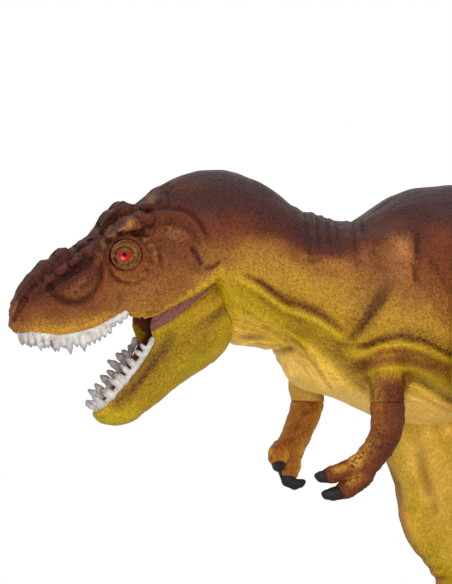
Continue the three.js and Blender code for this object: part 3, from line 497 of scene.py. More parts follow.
def vinyl(name, grain, stops=VINYL_STOPS):
    """Painted soft vinyl: base tone from the back to the belly, with sprayed masks over it."""
    n = Paint(name)
    blotch = n.noise(60 * grain, 5, 0.65)
    speck = n.noise(640 * grain, 4, 0.7)
    fine = n.noise(1050 * grain, 2, 0.6)
    pebble = n.cells(760 * grain)

    def speckle(low, high):
        return n.spread(speck, 0.25, 0.75, low, high)

    tone = n.maths("ADD", n.mask("tone"), n.spread(blotch, 0.25, 0.75, -0.05, 0.05))
    colour = n.ramp(n.maths("ADD", tone, speckle(-0.07, 0.07)), stops)
    for mask, paint in (("rust", RUST_PAINT), ("tan", TAN_PAINT), ("green", GREEN_PAINT), ("dark", DARK_PAINT)):
        grains = n.spread(n.maths("ADD", n.mask(mask), speckle(-0.30, 0.30)), 0.12, 0.95)
        colour = n.mix(n.maths("MULTIPLY", grains, n.spread(n.mask(mask), 0.0, 0.2)), colour, paint)
    for mask, paint in (("maroon", MAROON_PAINT), ("mauve", MAUVE_PAINT)):
        colour = n.mix(n.spread(n.mask(mask), 0.35, 0.65), colour, paint)
    # Mottling, dark gaps and pits between the pebbles, and light pebble tops
    mottle = n.spread(n.noise(170 * grain, 5, 0.7), 0.50, 0.74, 0.0, 0.35)
    colour = n.filter(mottle, colour, (0.50, 0.36, 0.30))
    plain = n.spread(n.mask("tone"), 0.60, 0.95, 1.0, 0.30)
    gaps = n.maths("MULTIPLY", n.spread(pebble, 0.38, 0.80, 0.0, 0.55), plain)
    colour = n.filter(gaps, colour, (0.48, 0.36, 0.32))
    pits = n.maths("MULTIPLY", n.spread(fine, 0.34, 0.52, 0.45, 0.0), plain)
    colour = n.filter(pits, colour, (0.40, 0.28, 0.24))
    colour = n.filter(n.spread(fine, 0.60, 0.78, 0.0, 0.30), colour, (1.45, 1.40, 1.30))
    # Dark wash and painted shade in the hollows, light brush and painted highlight on the raised parts
    wash_and_shade = n.maths("MULTIPLY", n.mask("crease"), speckle(0.6, 1.2), clamp=True)
    colour = n.filter(wash_and_shade, colour, (0.34, 0.20, 0.16))
    brush_and_highlight = n.maths("MULTIPLY", n.mask("raised"), speckle(0.5, 1.2), clamp=True)
    colour = n.filter(brush_and_highlight, colour, (1.50, 1.42, 1.30))
    colour = n.mix(n.spread(n.mask("claw"), 0.45, 0.55), colour, CHARCOAL_PAINT)
    claws = n.spread(n.mask("claw"), 0.3, 0.7, 1.0, 0.25)
    lower = n.bump(n.maths("MULTIPLY", n.noise(300 * grain, 4, 0.65), claws), 0.0012, 0.8)
    normal = n.bump(n.maths("MULTIPLY", n.spread(pebble, 0.0, 0.8, 1.0, 0.0), claws), 0.0006, 0.7, lower)
    return n.finish({"Base Color": colour, "Roughness": n.spread(speck, 0.3, 0.7, 0.36, 0.52),
                     "Specular IOR Level": 0.11, "Normal": normal})


skin_vinyl = vinyl("skin_vinyl", 1.0)
jaw_vinyl = vinyl("jaw_vinyl", 1.05)
leg_vinyl = vinyl("leg_vinyl", 0.9)
tail_vinyl = vinyl("tail_vinyl", 0.95)

MASKS = ("tone", "rust", "tan", "green", "dark", "maroon", "mauve", "claw", "crease", "raised")


def empty_masks(count, tone=0.5):
    masks = {key: np.zeros(count) for key in MASKS}
    masks["tone"] = np.full(count, tone)
    return masks


def wash_and_painted_light(masks, points, normals, faces, where=1.0, hollow=0.30, raised=0.35):
    """Dark wash and painted shade in the hollows, and a lighter brush and painted highlight over the raised parts."""
    depth = creases(points, normals, faces)
    masks["crease"] = np.clip((depth - 0.03) / hollow, 0, 0.85) * where
    masks["raised"] = np.clip((-depth - 0.05) / raised, 0, 0.55) * where


# ---------------------------------------------------------------- body skin
skin_table = table(SKIN, (LENGTH, HEIGHT, HEIGHT, WIDTH, HEIGHT, 1), 1.6)
mouth_table = table(MOUTH, (LENGTH, HEIGHT, WIDTH), 1.2)
MOUTH_FLOOR = 0.64 * HEIGHT


def skin_field(X, Y, Z, grow=0.0):
    at, top, bottom, half, level, power = skin_table
    level_here = np.interp(X, at, level)
    rise = np.interp(X, at, top) - level_here + grow
    drop = level_here - np.interp(X, at, bottom) + grow
    field = sections(X, Y, Z, 0, level_here, rise, drop, np.interp(X, at, half) + grow, 2.15, np.interp(X, at, power))
    return np.maximum(field, at[0] - grow - X)


def skin_half(share):
    return np.interp(share * LENGTH, skin_table[0], skin_table[3])


def mouth_field(X, Y, Z):
    at, roof, half = mouth_table
    roof_here = np.interp(X, at, roof)
    level = roof_here + 0.4 * (MOUTH_FLOOR - roof_here)
    field = sections(X, Y, Z, 0, level, roof_here - level, level - MOUTH_FLOOR, np.interp(X, at, half), 3.5, 8.0)
    pocket = np.maximum(np.hypot(X - HINGE[0], Z - HINGE[2]) - HINGE_BOSS, np.abs(Y) - half[-1])
    return np.minimum(np.maximum(field, between(X, at[0], at[-1])), pocket)


# Horny bumps of the head: along, height, side, then radii along, up and across, in millimetres
BUMPS = read("""
68.4 263.4 21.6 7.4 4.4 6.4 | 60.4 259.4 18.6 3.6 5 3.8 | 76 266.6 19.6 6 3.8 6 | 70.6 270.8 4.6 6.6 6.2 7
62.4 266.8 3.4 5 5.4 5 | 54.4 257 3.4 4.4 4 5 | 48.4 251.6 3.4 4.2 4.2 4.6 | 36.4 246.8 3.6 5 4.6 4.8
26 240.6 3.4 4.2 4.2 4.6 | 18.2 233.4 3 3.6 3.8 3.8 | 13.6 227 2.8 2.6 3 3.2 | 49.6 248.6 14.4 3.8 2.8 3.2
41 242.6 13.2 3.6 2.6 3 | 33 238.4 12 3.4 2.6 3 | 25.6 233.6 10.4 3.2 2.6 3 | 84 273.4 12 6 3.4 6.4
""")
# Outline of the horns along the top of the head, as it is seen: column, row
TOP_LINE = read("""
4 330 | 8 310 | 12 303 | 16 294 | 20 286 | 24 281 | 28 275 | 32 272 | 36 267 | 40 262 | 44 259 | 48 258.5 | 52 255
56 251 | 60 248 | 64 247 | 68 248 | 72 246.5 | 76 245 | 80 241 | 84 239 | 88 236.5 | 92 231 | 96 225.5 | 100 217.5
104 212.5 | 108 210.5 | 112 205.5 | 116 202 | 121 201 | 125 201.5 | 129 204 | 135 205 | 140 201 | 146 196 | 152 190
158 187 | 164 184.5 | 170 181 | 182 176 | 200 170 | 260 160
""")
# Slits: start and end (along, side, height), their radii
SLITS = read("""
13,7.4,222.4 9.6,5.2,214.8 2.6 1.8 | 100.7,34.6,250.2 104.2,35.6,243 1.5 .9 | 7.9,4.6,212.6 7.7,4.4,212 .9 .7
""")
# Arm stubs over the seam: height, width against the sleeve, lean to the middle
STUB = read(".110 1.2 .34 | .070 1.15 .16 | .025 1.04 0 | 0 1 0")
EYE_PLACE = np.array([0.1173 * LENGTH, 0.218 * WIDTH, 0.8403 * HEIGHT])
EYE_AXIS = np.array([-0.2, 1.0, 0.08]) / np.linalg.norm([-0.2, 1.0, 0.08])
EYE_RADIUS = 8.4
SOCKET_GAP, HIP_GAP = 0.3, 0.6
SEAM_REACH = 15
# Depth under the skin up to which a point is outside; distance up to which it is on a hollow's wall
SKIN_DEPTH, WALL_NEAR = 1.2, 0.9
# Most relief over the skin, and how much less of it on top of the head
RELIEF_LIMIT, TOP_LIMIT = 1.9, 0.9


def seam_place(side):
    return np.array([ARM_SEAM[side] * LENGTH, side * 0.430 * WIDTH, 0.568 * HEIGHT])


def body_field(X, Y, Z):
    field = skin_field(X, Y, Z)
    side = np.abs(Y)
    for x, z, y, rx, rz, ry in BUMPS:
        field = join(field, egg(X, side, Z, (x, y, z), (rx, ry, rz)), 1.3)
    for sign in (-1, 1):
        seam = seam_place(sign)
        arm = Cones(0.0)
        arm.chain([(seam[0], seam[1] * (1 - lean), seam[2] + rise * HEIGHT) for rise, wide, lean in STUB],
                  [wide * SLEEVE_RADIUS[sign] for rise, wide, lean in STUB])
        field = join(field, arm.field(X, Y, Z), 4.0)
        below = np.maximum(Z - seam[2], np.hypot(X - seam[0], Y - seam[1]) - SEAM_REACH)
        field = np.maximum(field, -below)
    recess = np.maximum(np.hypot(X - HIP[0], Z - HIP[2]) - HIP_RADIUS - HIP_GAP, HIP[1] - side)
    field = np.maximum(field, -recess)
    x, y, z = X - EYE_PLACE[0], side - EYE_PLACE[1], Z - EYE_PLACE[2]
    reach = x * EYE_AXIS[0] + y * EYE_AXIS[1] + z * EYE_AXIS[2]
    ring = np.sqrt(np.maximum(x ** 2 + y ** 2 + z ** 2 - reach ** 2, 0)) - EYE_RADIUS
    field = join(field, np.maximum(ring - 2.4, between(reach, 0, 3.7)), 5.0)
    field = np.maximum(field, -np.maximum(ring - SOCKET_GAP, -reach))
    for start, stop, first, last in SLITS:
        field = cut(field, round_cone(X, side, Z, start, stop, first, last), 0.8)
    field = np.maximum(field, -mouth_field(X, Y, Z))
    return np.maximum(field, X - SKIN[-1][0] * LENGTH)


# Raised and sunk lines of the skin: amount in millimetres, width on the grid, places
HEAD_LINES = read("""
1.2 4 40,292,.4 52,281 64,273 76,262 88,253 98,243 | -1.3 2.6 50,289 58,283 68,276 80,267 92,261,.6
-1.7 3.2 52,286 58,295 68,300 78,301 88,296 95,290 101,280 100,268,.5
1.1 5 46,300,.3 62,307 80,309 96,302 106,290 108,274,.4 | 1.2 3.4 98,252 105,262 107,272 106,284,.4
-1.2 2.4 109,248,.4 112,260 112,271 119,281,.3 | .7 2.6 112,268,.4 121,277 132,280 143,275,.4
-.8 1.9 113,276,.4 121,282 133,285 146,280,.3 | .9 3.6 14,322 21,328 46,333 80,328 106,318 124,309
-.5 3 24,320 50,324 80,320 104,311 118,300,.2 | .8 2.4 31,296 29,306 21,317 | .6 2.4 24,295 17,304 12,313
-1.5 2.4 107,241,.6 116,241 123,236 133,234 143,233 151,237,.3
1.8 3.8 146,221,.5 155,216 165,215 175,215 185,217 193,222 198,229 203,239 205,247,.2
-1.1 3.2 152,227,.4 165,223 178,224 187,230 194,239 198,249,.3
-1 2.8 150,211,.3 165,208 180,209 192,214 202,224 208,238,.3 | 1.4 4.2 139,214,.4 148,207 156,199 162,190,.4
-1 2.4 167,193,.4 168,202 166,208,.4 | .8 2.8 188,252,.6 191,260 196,267 205,271,.5
-1.1 2.4 207,269,.6 213,268 219,263,.6 | .7 2.4 206,263 213,262 219,257,.5
.8 3.2 128,311 139,315 156,315 176,304 198,290 217,277 | -.7 2.6 160,240,.3 161,252 160,264 164,273,.3
-.45 1.5 163,266 172,267 180,266,.3 | -.45 1.5 163,269 171,273 178,276,.3 | -.6 5 146,262 150,276 141,294
-.6 2.2 30,286,.5 38,280 47,270 56,262 70,254,.5 | -.6 2.2 36,288,.5 46,279 58,268 74,257 88,246,.5
-.5 2 92,244,.5 100,232 108,222 118,214,.5 | -.7 2 104,234,.5 110,224 120,217 134,212,.5
""")
BODY_LINES = read("""
1.7 4.4 236,279,.2 250,284 262,290 283,309 302,315 322,324 341,338 352,352,.3
-1.1 3.4 240,274,.2 262,283 283,301 302,307 322,315 341,329,.6 | 1 4 234,300,.3 252,310 270,326 284,345,.4
.8 3.2 236,318,.3 256,325 272,338 282,352,.4 | .8 3 238,332,.3 258,337 276,346 | -.7 2.6 240,309,.3 262,320 278,336
1.6 4.6 350,358,.3 364,353 380,347 398,345 421,349 440,358 470,372 500,384,.3
-1.2 3.4 342,345,.4 364,346 380,340 398,338 421,342 452,356 480,368,.3
1.1 4.2 369,378,.3 385,371 400,367 417,369 440,377 470,390 | -.9 3.4 404,379 427,387 452,402 482,416,.3
-1.7 5 391,286,.4 382,300 374,312 360,328 346,341,.5 | .9 5 364,240,.3 384,238 399,245 408,262 410,284,.3
-1.3 3.6 416,236 415,255 414,277 421,286,.4 | -.8 3.2 421,253,.3 432,264 443,280 456,302,.3
.9 7 290,340,.2 308,352 330,368 350,390 366,400 | -.6 4 300,338,.2 322,352 345,374 362,388 | .9 3 296,206 298,222,.3
.9 2.8 311,214 314,232,.3 | .8 2.6 321,218 323,236,.3 | .7 2.6 329,220 331,238,.3 | .8 3.4 346,222 346,240,.3
-.7 1.7 304,212 308,238 309,254,.2 | -.8 1.6 316,217 318,240 321,257,.2 | -.8 1.6 325,219 330,242 334,262,.2
-.8 1.7 335,221 338,240 340,258,.2 | -.9 1.8 353,221 354,240 359,262,.2 | -.6 1.6 361,219 362,236 366,252,.2
-.6 3 222,252,.3 229,270 233,292,.3 | -5 3.6 264,356,.5 274,355 280,353,.8 292,348,.2 | 2.4 5.5 284,364 288,374
""")
# Bumps and hollows: amount, column, row, radii, lean
HEAD_SPOTS = read("""
.9 145 241 3.4 3 | 1 151 246 3.6 3.2 | .9 155 253 3.4 3.6 | .8 157 261 3 3.4 | .7 150 237 2.8 2.4 | .7 158 244 2.8 2.6
.7 161 252 2.6 3 | .7 153 268 3 3 | .6 146 274 3 2.6 | .6 118 276 3 3 | .6 112 268 2.6 3.2 | -2.9 80 280 23 13 -36
1.6 176 268 34 26 -20 | 1.1 153.7 248 3.8 3.8 | 1.2 155 257 4.8 4.6 | .9 149 266 4 4 | .8 147 240 4 3.6
.8 163 255 3.6 3.6 | .8 160 245 3.4 3.2 | .7 167 262 3.6 3.4 | .6 169 250 3.2 3.2 | 1.1 116 273 4.2 4.4
.8 124 279 4 3.4 | .8 144 275 4.5 3.6 | .7 134 282 4 3.2 | 1.3 52 279 4.6 4.4 | 1.1 58 272 4.2 4.2
1.4 69 266 7 4.2 -38 | 1.3 79 258.5 5 4.4 -38 | 1.3 87.5 251 5 4.6 -30 | 1.2 95.5 245 4.6 4.4 | 1.2 99 235 3.4 7 12
1 104 242 3.8 4.2 | .9 44 287 4.6 4.2 | .8 36 291 4 3.8 | 1 112 231 4.2 7.4 -10 | 1.4 128 224 10 6 -6
1.2 139 219 6 5 | 1.4 149 221 5.4 5 | .9 121 229 5 4 -20 | .8 128 213 7 4 -10 | .8 114 214 5 5 | .7 103 222 4 5 20
.6 160 196 7 5 -50 | .9 15.5 313 3.5 6 -20 | .7 160 309 5 3 | .6 150 308 4 3
""")
BODY_SPOTS = read("""
1.8 400 264 22 28 10 | 1.2 360 290 26 30 | 1.4 300 280 44 22 10 | 1.2 446 245 22 26 30 | .9 438 320 26 26
1 400 358 34 10 | -.8 342 246 30 26 | 1 320 378 26 14 15 | .8 420 402 40 14
""")
# Four soft paint borders from the back to the belly: tone, then rows over the grid's columns
BORDER_AT = [10, 20, 40, 60, 80, 100, 120, 150, 180, 200, 220, 250, 280, 310, 340, 370, 400, 430, 460, 520, 620]
BORDERS = read("""
.22 308 300 294 290 282 268 236 216 214 216 222 226 234 254 252 236 234 240 246 252 258
.46 334 328 320 320 316 310 306 306 298 274 262 244 244 260 262 276 290 302 308 300 286
.7 348 346 342 341 340 336 332 332 322 296 276 290 306 316 332 348 348 352 364 360 326
.88 380 378 376 374 370 364 350 346 340 330 322 332 340 354 370 386 390 388 396 392 346
""")
# Paint strokes: amount, width, places
# Dark paint strokes; the first, on the nostril, is partly painted shade in the hole
DARK_LINES = read("""
1 2.6 26,299,.6 24.5,305 22.5,313,.8 | .95 9 18,292,.6 30,280 46,268 64,260 84,249 98,235 106,222 124,209 140,206
.95 10 30,297,.6 50,286 66,276 82,263 96,251,.6 | .8 5.5 53,289 59,298 68,303 80,304 90,299 98,290,.6
.6 3 52,286 60,280 70,273 82,264 92,258,.6 | .4 3 98,264,.5 102,274 99,286,.8 | .55 7 34,298,.6 48,294 58,302,.6
.25 3 105,250 111,258 112,270,.6 | .7 2.6 108,243 114,243 122,238 132,236,.6 146,236,.4
.85 4.5 136,216 148,211 166,208 182,210 194,217 202,228 207,240,.4 | .45 4 134,219 142,217,.6
.55 3 167,193,.5 169,202 166,208,.5 | .85 2.2 193,250 196,257 200,264 | .5 6 192,268 202,270 212,266,.7
.7 2.4 207,269 213,268 219,263 | .45 3 160,242,.4 161,254 161,266 166,274,.3 | .4 4 116,286,.4 122,300 118,310,.3
.5 2.6 150,312 157,310 163,308,.6 | .8 9 386,280,.5 378,294 371,308 363,322 354,336,.6
.55 17 384,278,.6 374,298 364,318 352,338,.6 | .55 6 362,264,.5 376,268 390,276,.6 | .5 4 372,282 382,290,.5
.85 2.6 360,346,.5 370,345 380,341 388,337,.6 398,335 412,336 424,340 436,347,.7 452,355
.45 6 364,342,.6 384,336 404,330 426,334 452,348 | .6 5 328,340,.3 338,344 350,346,.8
.42 10 334,346 340,360 350,372 362,382,.8 | .6 3.4 370,374,.5 378,374 386,372,.6
.55 6 406,372,.3 420,380 436,390 456,402 | .75 1.6 415,232,.8 416,250 414,268 414,284,.6 420,290,.2
.6 2.4 429,256,.5 436,270 442,284,.7 450,300,.2 | .8 3 303,260,.5 312,262 320,260,.8
.45 5 286,246,.4 296,256 306,264,.6 | .55 1.5 314,220 318,242,.5 | .55 1.5 319,221 324,238,.5
.75 1.6 331,223 335,244 339,258,.5 | .65 1.5 337,224 341,246,.6 | .85 1.8 352,222 354,246 356,270,.5
.65 1.5 358,222 359,242,.6 | .4 1.5 300,214 304,234,.4 | .4 1.5 345,222 347,240,.5
.5 6 236,262,.4 228,262,.8 220,262,.4
""")
# Brown paint strokes; the thin lines across the chest between its crests are partly painted shade between the folds
BROWN_LINES = read("""
.9 2.6 240,273,.3 254,279,.7 266,286 276,293 288,301,.8 302,305 314,311 324,319,.7 340,332,.4
.7 6 256,282,.7 270,290 284,297 302,304 318,311 336,326,.6 | .7 3.6 238,336,.4 248,337 260,336,.8 272,336,.3
.4 3.6 232,318,.4 248,322 266,330,.6 282,344,.3 | .5 3 284,306,.3 298,320 306,334,.8 312,344,.3
.8 9 344,358,.4 356,366 376,362 402,358 424,364 452,380,.7 | .5 8 286,322,.4 304,330 322,342 338,352,.8 352,366,.5
.6 7 378,380,.7 390,376 402,381,.7 | .42 2.6 286,336,.4 302,346 314,358 322,370,.4
.42 2.6 294,350,.4 310,360 322,374 334,390,.5 | .38 2.6 292,358,.4 304,366 316,384,.5
.3 5 286,374,.5 302,382 322,388,.5 | .35 3.2 400,390,.5 418,394 438,404 456,412
.75 5 360,358,.5 380,352 402,349 424,355 452,369 | .3 5 254,292,.4 270,303 288,314 306,320 330,334,.4
.45 9 340,300,.4 356,290 366,280,.6 | .45 3 402,276,.4 404,296 400,316,.5 | .7 8 366,380,.5 382,381 398,381,.8
.4 5 358,384,.6 368,392 | .4 7 292,262,.5 312,270 334,276,.6 | .35 6 150,288,.3 172,284 188,272,.4
""")
GREEN_LINES = read("""
.85 3 238,280,.5 254,288 268,298,.7 284,309,.5 300,314,.5 314,319,.6 326,327,.6 342,338,.3
.3 7 246,296,.4 264,308 284,322,.6 300,326,.5 318,332,.3
.42 2.4 354,357,.3 366,353 378,347 390,344 402,343 420,347 440,356 456,364
.4 3 139,314,.3 156,314,.6 176,303 198,287 219,276 240,276,.9
.35 2.2 366,374,.3 378,368 392,369 405,367 420,372 442,381 456,388 | .12 7 376,362,.3 400,358 430,368 456,380
""")
# Paint spots: amount, column, row, radii, lean
RUST_SPOTS = read("""
.9 446 246 24 24 | .6 470 260 40 30 | .55 84 276 20 12 -34 | .55 60 312 40 8 | .6 26 316 12 14 | .55 108 262 8 16 20
.65 92 306 26 10 -15 | .3 150 262 22 20 | .5 188 224 22 8 20 | .45 370 246 8 10 | .45 428 268 10 20 -20
.55 240 224 24 12 | .7 104 282 10 16 10 | .6 210 226 20 12 20 | .45 288 250 20 10 20 | .6 44 300 18 10
.4 118 294 14 10 | .45 396 226 14 8 | .45 186 186 26 8
""")
TAN_SPOTS = read("""
.55 151 245 3.2 3 | .55 155 253 3 3 | .5 145 240 3 2.6 | .45 157 261 3 3 | .9 18.5 309 3 8 10 | .4 82 281 9 6 -34
.95 399 252 15 17 10 | .65 394 274 16 16 | .95 128 226 9 5.5 -10 | .6 104 246 4 6 20 | .5 92 257 5 4
.45 66 268 5 3 -30 | .45 48 282 5 3 -30 | .95 112 233 4.5 7 10 | .55 99 258 6 8 20 | .45 66 324 40 4
.45 176 234 16 8 12 | .45 22 324 10 6 | .55 152 199 7 5 -45 | .4 384 252 12 10 | .35 150 288 20 10 -20
.4 76 288 12 6 -34 | .5 366 258 8 18
""")
# Light crests and the wrinkles of the throat and belly: relief and a light brush of paint that is partly a painted
# highlight
CREST_LINES = read("""
.6 1.3 262,294,.4 276,303 290,310 304,314 318,320 330,330,.4
.5 1.4 362,354,.4 378,346 398,342 414,344 432,350 452,360 | .4 1.4 372,370,.4 392,368 410,367 434,376,.5
.9 1.5 402,384,.4 412,384 424,391 438,401 452,408 | .8 1.4 234,322,.4 250,326 268,332 284,342,.6
.6 1.2 236,329 256,332 276,340,.5 | .8 1.4 240,344,.4 258,341 278,341 294,345,.5 | .6 1.2 264,346 282,346 296,350,.4
1.1 1.6 284,330,.4 298,338 310,346 320,356,.6 | 1.2 1.8 292,346,.4 308,352 320,364 330,378 338,388,.5
1.1 1.6 296,354,.4 308,360 318,372 324,384,.5 | .9 1.5 302,342,.5 316,354 328,370,.6
.8 1.5 330,366,.4 340,378 352,390,.5 | .8 1.5 284,352,.5 285,364 291,376,.5 | .8 1.5 408,396,.4 424,400 444,412,.6
""")
# Lines of the face as columns, then rows: lip, cheek's lower edge, crest with its knobs, start of the snout's top
LIP_EDGE = read("14 21 46 80 106 124 | 324 330 336 331 321 311")
CHEEK_EDGE = read("128 139 156 176 198 219 | 307 311 312 300 287 274")
KNOB_LINE = read("30 60 90 120 152 | 286 262 244 222 214")
SNOUT_LINE = read("10 50 90 130 165 | 322 290 260 228 212")
SNOUT_SLOPE = math.radians(36)
# Rows over which the tone fades above the first border and below the last one
BACK_FADE, BELLY_FADE = 46, 16


def paint_side(view, masks):
    """Sprays the skin's masks from the side view drawing."""
    levels = [level for level, *_ in BORDERS]
    rows = [np.interp(view[:, 0], BORDER_AT, row) for _, *row in BORDERS]
    tone = levels[0] * np.clip((view[:, 1] - rows[0] + BACK_FADE) / BACK_FADE, 0, 1)
    for index in range(1, 4):
        span = np.maximum(rows[index] - rows[index - 1], 1)
        tone += (levels[index] - levels[index - 1]) * np.clip((view[:, 1] - rows[index - 1]) / span, 0, 1)
    masks["tone"] = tone + (1 - levels[3]) * np.clip((view[:, 1] - rows[3]) / BELLY_FADE, 0, 1)
    for key, rows in (("dark", DARK_LINES), ("rust", BROWN_LINES + RUST_SPOTS), ("green", GREEN_LINES),
                      ("tan", TAN_SPOTS)):
        masks[key] = drawn(masks[key], view, rows)


def build_body():
    end = SKIN[-1][0] * LENGTH
    sides = spans((0.5, 38.0, 1.0), (38.4, 58.0, 1.7))
    axes = [spans((4.0, 124.0, 0.92), (124.0, 200.0, 1.7), (200.0, end + 3, 2.5)),
            np.concatenate([-sides[::-1], sides]),
            spans((150.0, 165.5, 1.7), (166.0, 168.4, 0.45), (168.8, 206.0, 1.7), (206.2, 299.0, 1.0))]
    points, normals, faces = surface(body_field, axes)
    view = side_view(points)
    open_skin = skin_field(*points.T) > -SKIN_DEPTH
    cavity = mouth_field(*points.T) < WALL_NEAR
    outer = np.where(open_skin, 1.0, 0.0)
    lift = relief(view, HEAD_LINES + BODY_LINES + CREST_LINES)
    for amount, *spot in HEAD_SPOTS + BODY_SPOTS:
        lift += amount * (dome(view, *spot) if spot[2] < 9 else blob(view, *spot, power=1.4))
    small = np.zeros(len(points))
    for count, start, step, edge_rows, size in ((17, 16, 6.6, LIP_EDGE, (3.8, 4.2)),
                                                (12, 130, 7.4, CHEEK_EDGE, (4.4, 3.6, -20))):
        for x in start + step * np.arange(count):
            small = np.maximum(small, 0.6 * dome(view, x, np.interp(x, *edge_rows), *size))
    # Small knobs and rough wrinkles over the snout and round the eye
    rng = np.random.default_rng(4)
    for _ in range(70):
        x = rng.uniform(30, 152)
        y = np.interp(x, *KNOB_LINE) + rng.uniform(-6, 12)
        knob = rng.uniform(0.5, 1.1)
        small = np.maximum(small, knob * dome(view, x, y, rng.uniform(2.2, 3.8), rng.uniform(2.0, 3.4)))
    bowl = blob(view, 80, 280, 21, 12, -36, 2.0)
    lift += small * (1 - bowl) + 0.15 * ripple(points, 9.0, 3) + 0.35 * ripple(points, 26.0, 5)
    snout = smooth_step(np.interp(view[:, 0], *SNOUT_LINE) - view[:, 1], -6, 8)
    snout *= smooth_step(200 - view[:, 0], 0, 40) * (1 - bowl)
    X, Y, Z = points.T
    c, s = math.cos(SNOUT_SLOPE), math.sin(SNOUT_SLOPE)
    along = np.stack([0.42 * (X * c + Z * s), Y, Z * c - X * s], 1)
    lift += snout * (1.0 * (0.35 - np.abs(ripple(along, 6.0, 6))) + 0.6 * (0.35 - np.abs(ripple(along, 3.2, 9))))
    face = smooth_step(175 - view[:, 0], 0, 40)
    lift += 0.22 * face * (0.35 - np.abs(ripple(points, 3.4, 7)))
    # The horns make the outline, so the skin rises little along the top of the head
    most = RELIEF_LIMIT - TOP_LIMIT * smooth_step(normals[:, 2], 0.35, 0.85) * smooth_step(190 - view[:, 0], 0, 30)
    lift = np.minimum(lift, most + 0.15 * (lift - most))
    middle = np.clip((np.abs(points[:, 1]) - 0.5) / 3.0, 0.35, 1)
    edge = smooth_step(end - points[:, 0], 0.0, 14.0)
    points = points + normals * (lift * outer * middle * edge)[:, None]
    across = points[:, 0] * math.cos(TURN) / GRID
    aside = np.abs(points[:, 1]) * math.sin(TURN) / GRID
    row = np.maximum(np.interp(across + aside, *zip(*TOP_LINE)), np.interp(across - aside, *zip(*TOP_LINE)))
    over = np.maximum(points[:, 2] - (GROUND_ROW - row) * GRID, 0) * smooth_step(190 - across, 0, 20)
    points[:, 2] -= 0.95 * over
    masks = empty_masks(len(points))
    paint_side(view, masks)
    from_eye = np.hypot(points[:, 0] - EYE_PLACE[0], points[:, 2] - EYE_PLACE[2])
    wash_and_painted_light(masks, points, normals, faces, outer * edge * (0.35 + 0.65 * smooth_step(from_eye, 9.6, 12.0)), 0.36)
    # Along each crest a light brush that is partly a painted highlight, and less dark paint
    for amount, width, *line in CREST_LINES:
        crest_brush_and_highlight = min(0.7 * amount, 0.45) * stroke(view, width * 0.8, line) * outer
        masks["raised"] = np.maximum(masks["raised"], crest_brush_and_highlight)
        masks["dark"] *= 1 - 0.8 * stroke(view, width, line)
    masks["maroon"] = np.where(cavity & ~open_skin, 1.0, 0.0)
    # Dark paint inside the nostrils and ear slits, partly painted shade in these holes
    for slit in SLITS:
        gap = round_cone(points[:, 0], np.abs(points[:, 1]), points[:, 2], *slit)
        masks["dark"] = np.maximum(masks["dark"], smooth_step(-gap, -1.3, -0.3))
    # Sleeves over the arms' seams carry the paint of the arms
    for sign, tone, top, fade in ((-1, 0.25, 18.0, 10.0), (1, 0.90, 12.0, 4.0)):
        seam = seam_place(sign)
        sleeve = smooth_step(seam[2] + top - points[:, 2] + 1.2 * ripple(points, 5.0, 15), 0, fade)
        sleeve *= smooth_step(SEAM_REACH - np.hypot(points[:, 0] - seam[0], points[:, 1] - seam[1]), 0, 3)
        if sign < 0:
            left = smooth_step(386.4 - view[:, 0], 0.5, 8.5)
            tone = tone + 0.26 * left
            speckles = left * np.clip(1.6 * ripple(points, 2.8, 16), 0, 0.6)
            masks["dark"] += (speckles - masks["dark"]) * sleeve
        masks["tone"] += (tone - masks["tone"]) * sleeve
        for key in ("crease", "raised", "green", "tan"):
            masks[key] *= 1 - sleeve
        if sign > 0:
            masks["tan"] += sleeve * (0.42 + 0.40 * smooth_step(normals[:, 0], 0.0, 0.8))
    for key in ("dark", "rust", "tan", "green"):
        masks[key] *= outer
    make_piece("dino_skin", points, faces, masks, skin_vinyl, "body", ["body_shell"])


build_body()

# ---------------------------------------------------------------- lower jaw
jaw_table = table(JAW, (JAW_LENGTH,) * 3 + (JAW_WIDTH,), 1.4)
wall_table = table(JAW_WALL, (JAW_LENGTH,) * 3 + (JAW_WIDTH,), 1.4)
WALL_END = 0.52 * JAW_LENGTH
THROAT = 0.2130 * LENGTH
THROAT_GAP = 0.9


def jaw_frame(X, Z):
    ahead = (X - JAW_ROOT[0]) * JAW_AHEAD[0] + (Z - JAW_ROOT[2]) * JAW_AHEAD[2]
    rise = (X - JAW_ROOT[0]) * JAW_RISE[0] + (Z - JAW_ROOT[2]) * JAW_RISE[2]
    return ahead, rise


def jaw_sections(ahead, Y, rise, rows, share, upper, lower):
    at, top, bottom, half = rows
    top_here, bottom_here = np.interp(ahead, at, top), np.interp(ahead, at, bottom)
    level = bottom_here + share * (top_here - bottom_here)
    field = sections(ahead, Y, rise, 0, level, top_here - level, level - bottom_here,
                     np.interp(ahead, at, half), upper, lower)
    return np.maximum(field, between(ahead, at[0], at[-1]))


def channel_field(X, Y, Z):
    ahead, rise = jaw_frame(X, Z)
    at, half = jaw_table[0], jaw_table[3]
    # The wall is 5 mm thick, and 1.5 mm more in front of the cheek membranes
    wide = np.interp(np.maximum(ahead, 0.30 * JAW_LENGTH), at, half) - 5.0
    wide = wide - 1.5 * smooth_step(ahead, 0.50 * JAW_LENGTH, 0.56 * JAW_LENGTH)
    floor, lid = JAW_FLOOR * JAW_LENGTH, 0.3 * JAW_LENGTH
    level = floor + 0.3 * (lid - floor)
    field = sections(ahead, Y, rise, 0, level, lid - level, level - floor, np.maximum(wide, 1.0), 8.0, 6.0)
    return np.maximum(field, between(ahead, -0.25 * JAW_LENGTH, 0.90 * JAW_LENGTH))


def jaw_field(X, Y, Z):
    ahead, rise = jaw_frame(X, Z)
    field = jaw_sections(ahead, Y, rise, jaw_table, 0.62, 3.0, 2.2)
    field = join(field, jaw_sections(ahead, Y, rise, wall_table, 0.5, 5.0, 5.0), 3.0)
    field = cut(field, channel_field(X, Y, Z), 1.2)
    throat = np.where(X > THROAT, skin_field(X, Y, Z, THROAT_GAP), 9.0)
    return np.maximum(field, -throat)


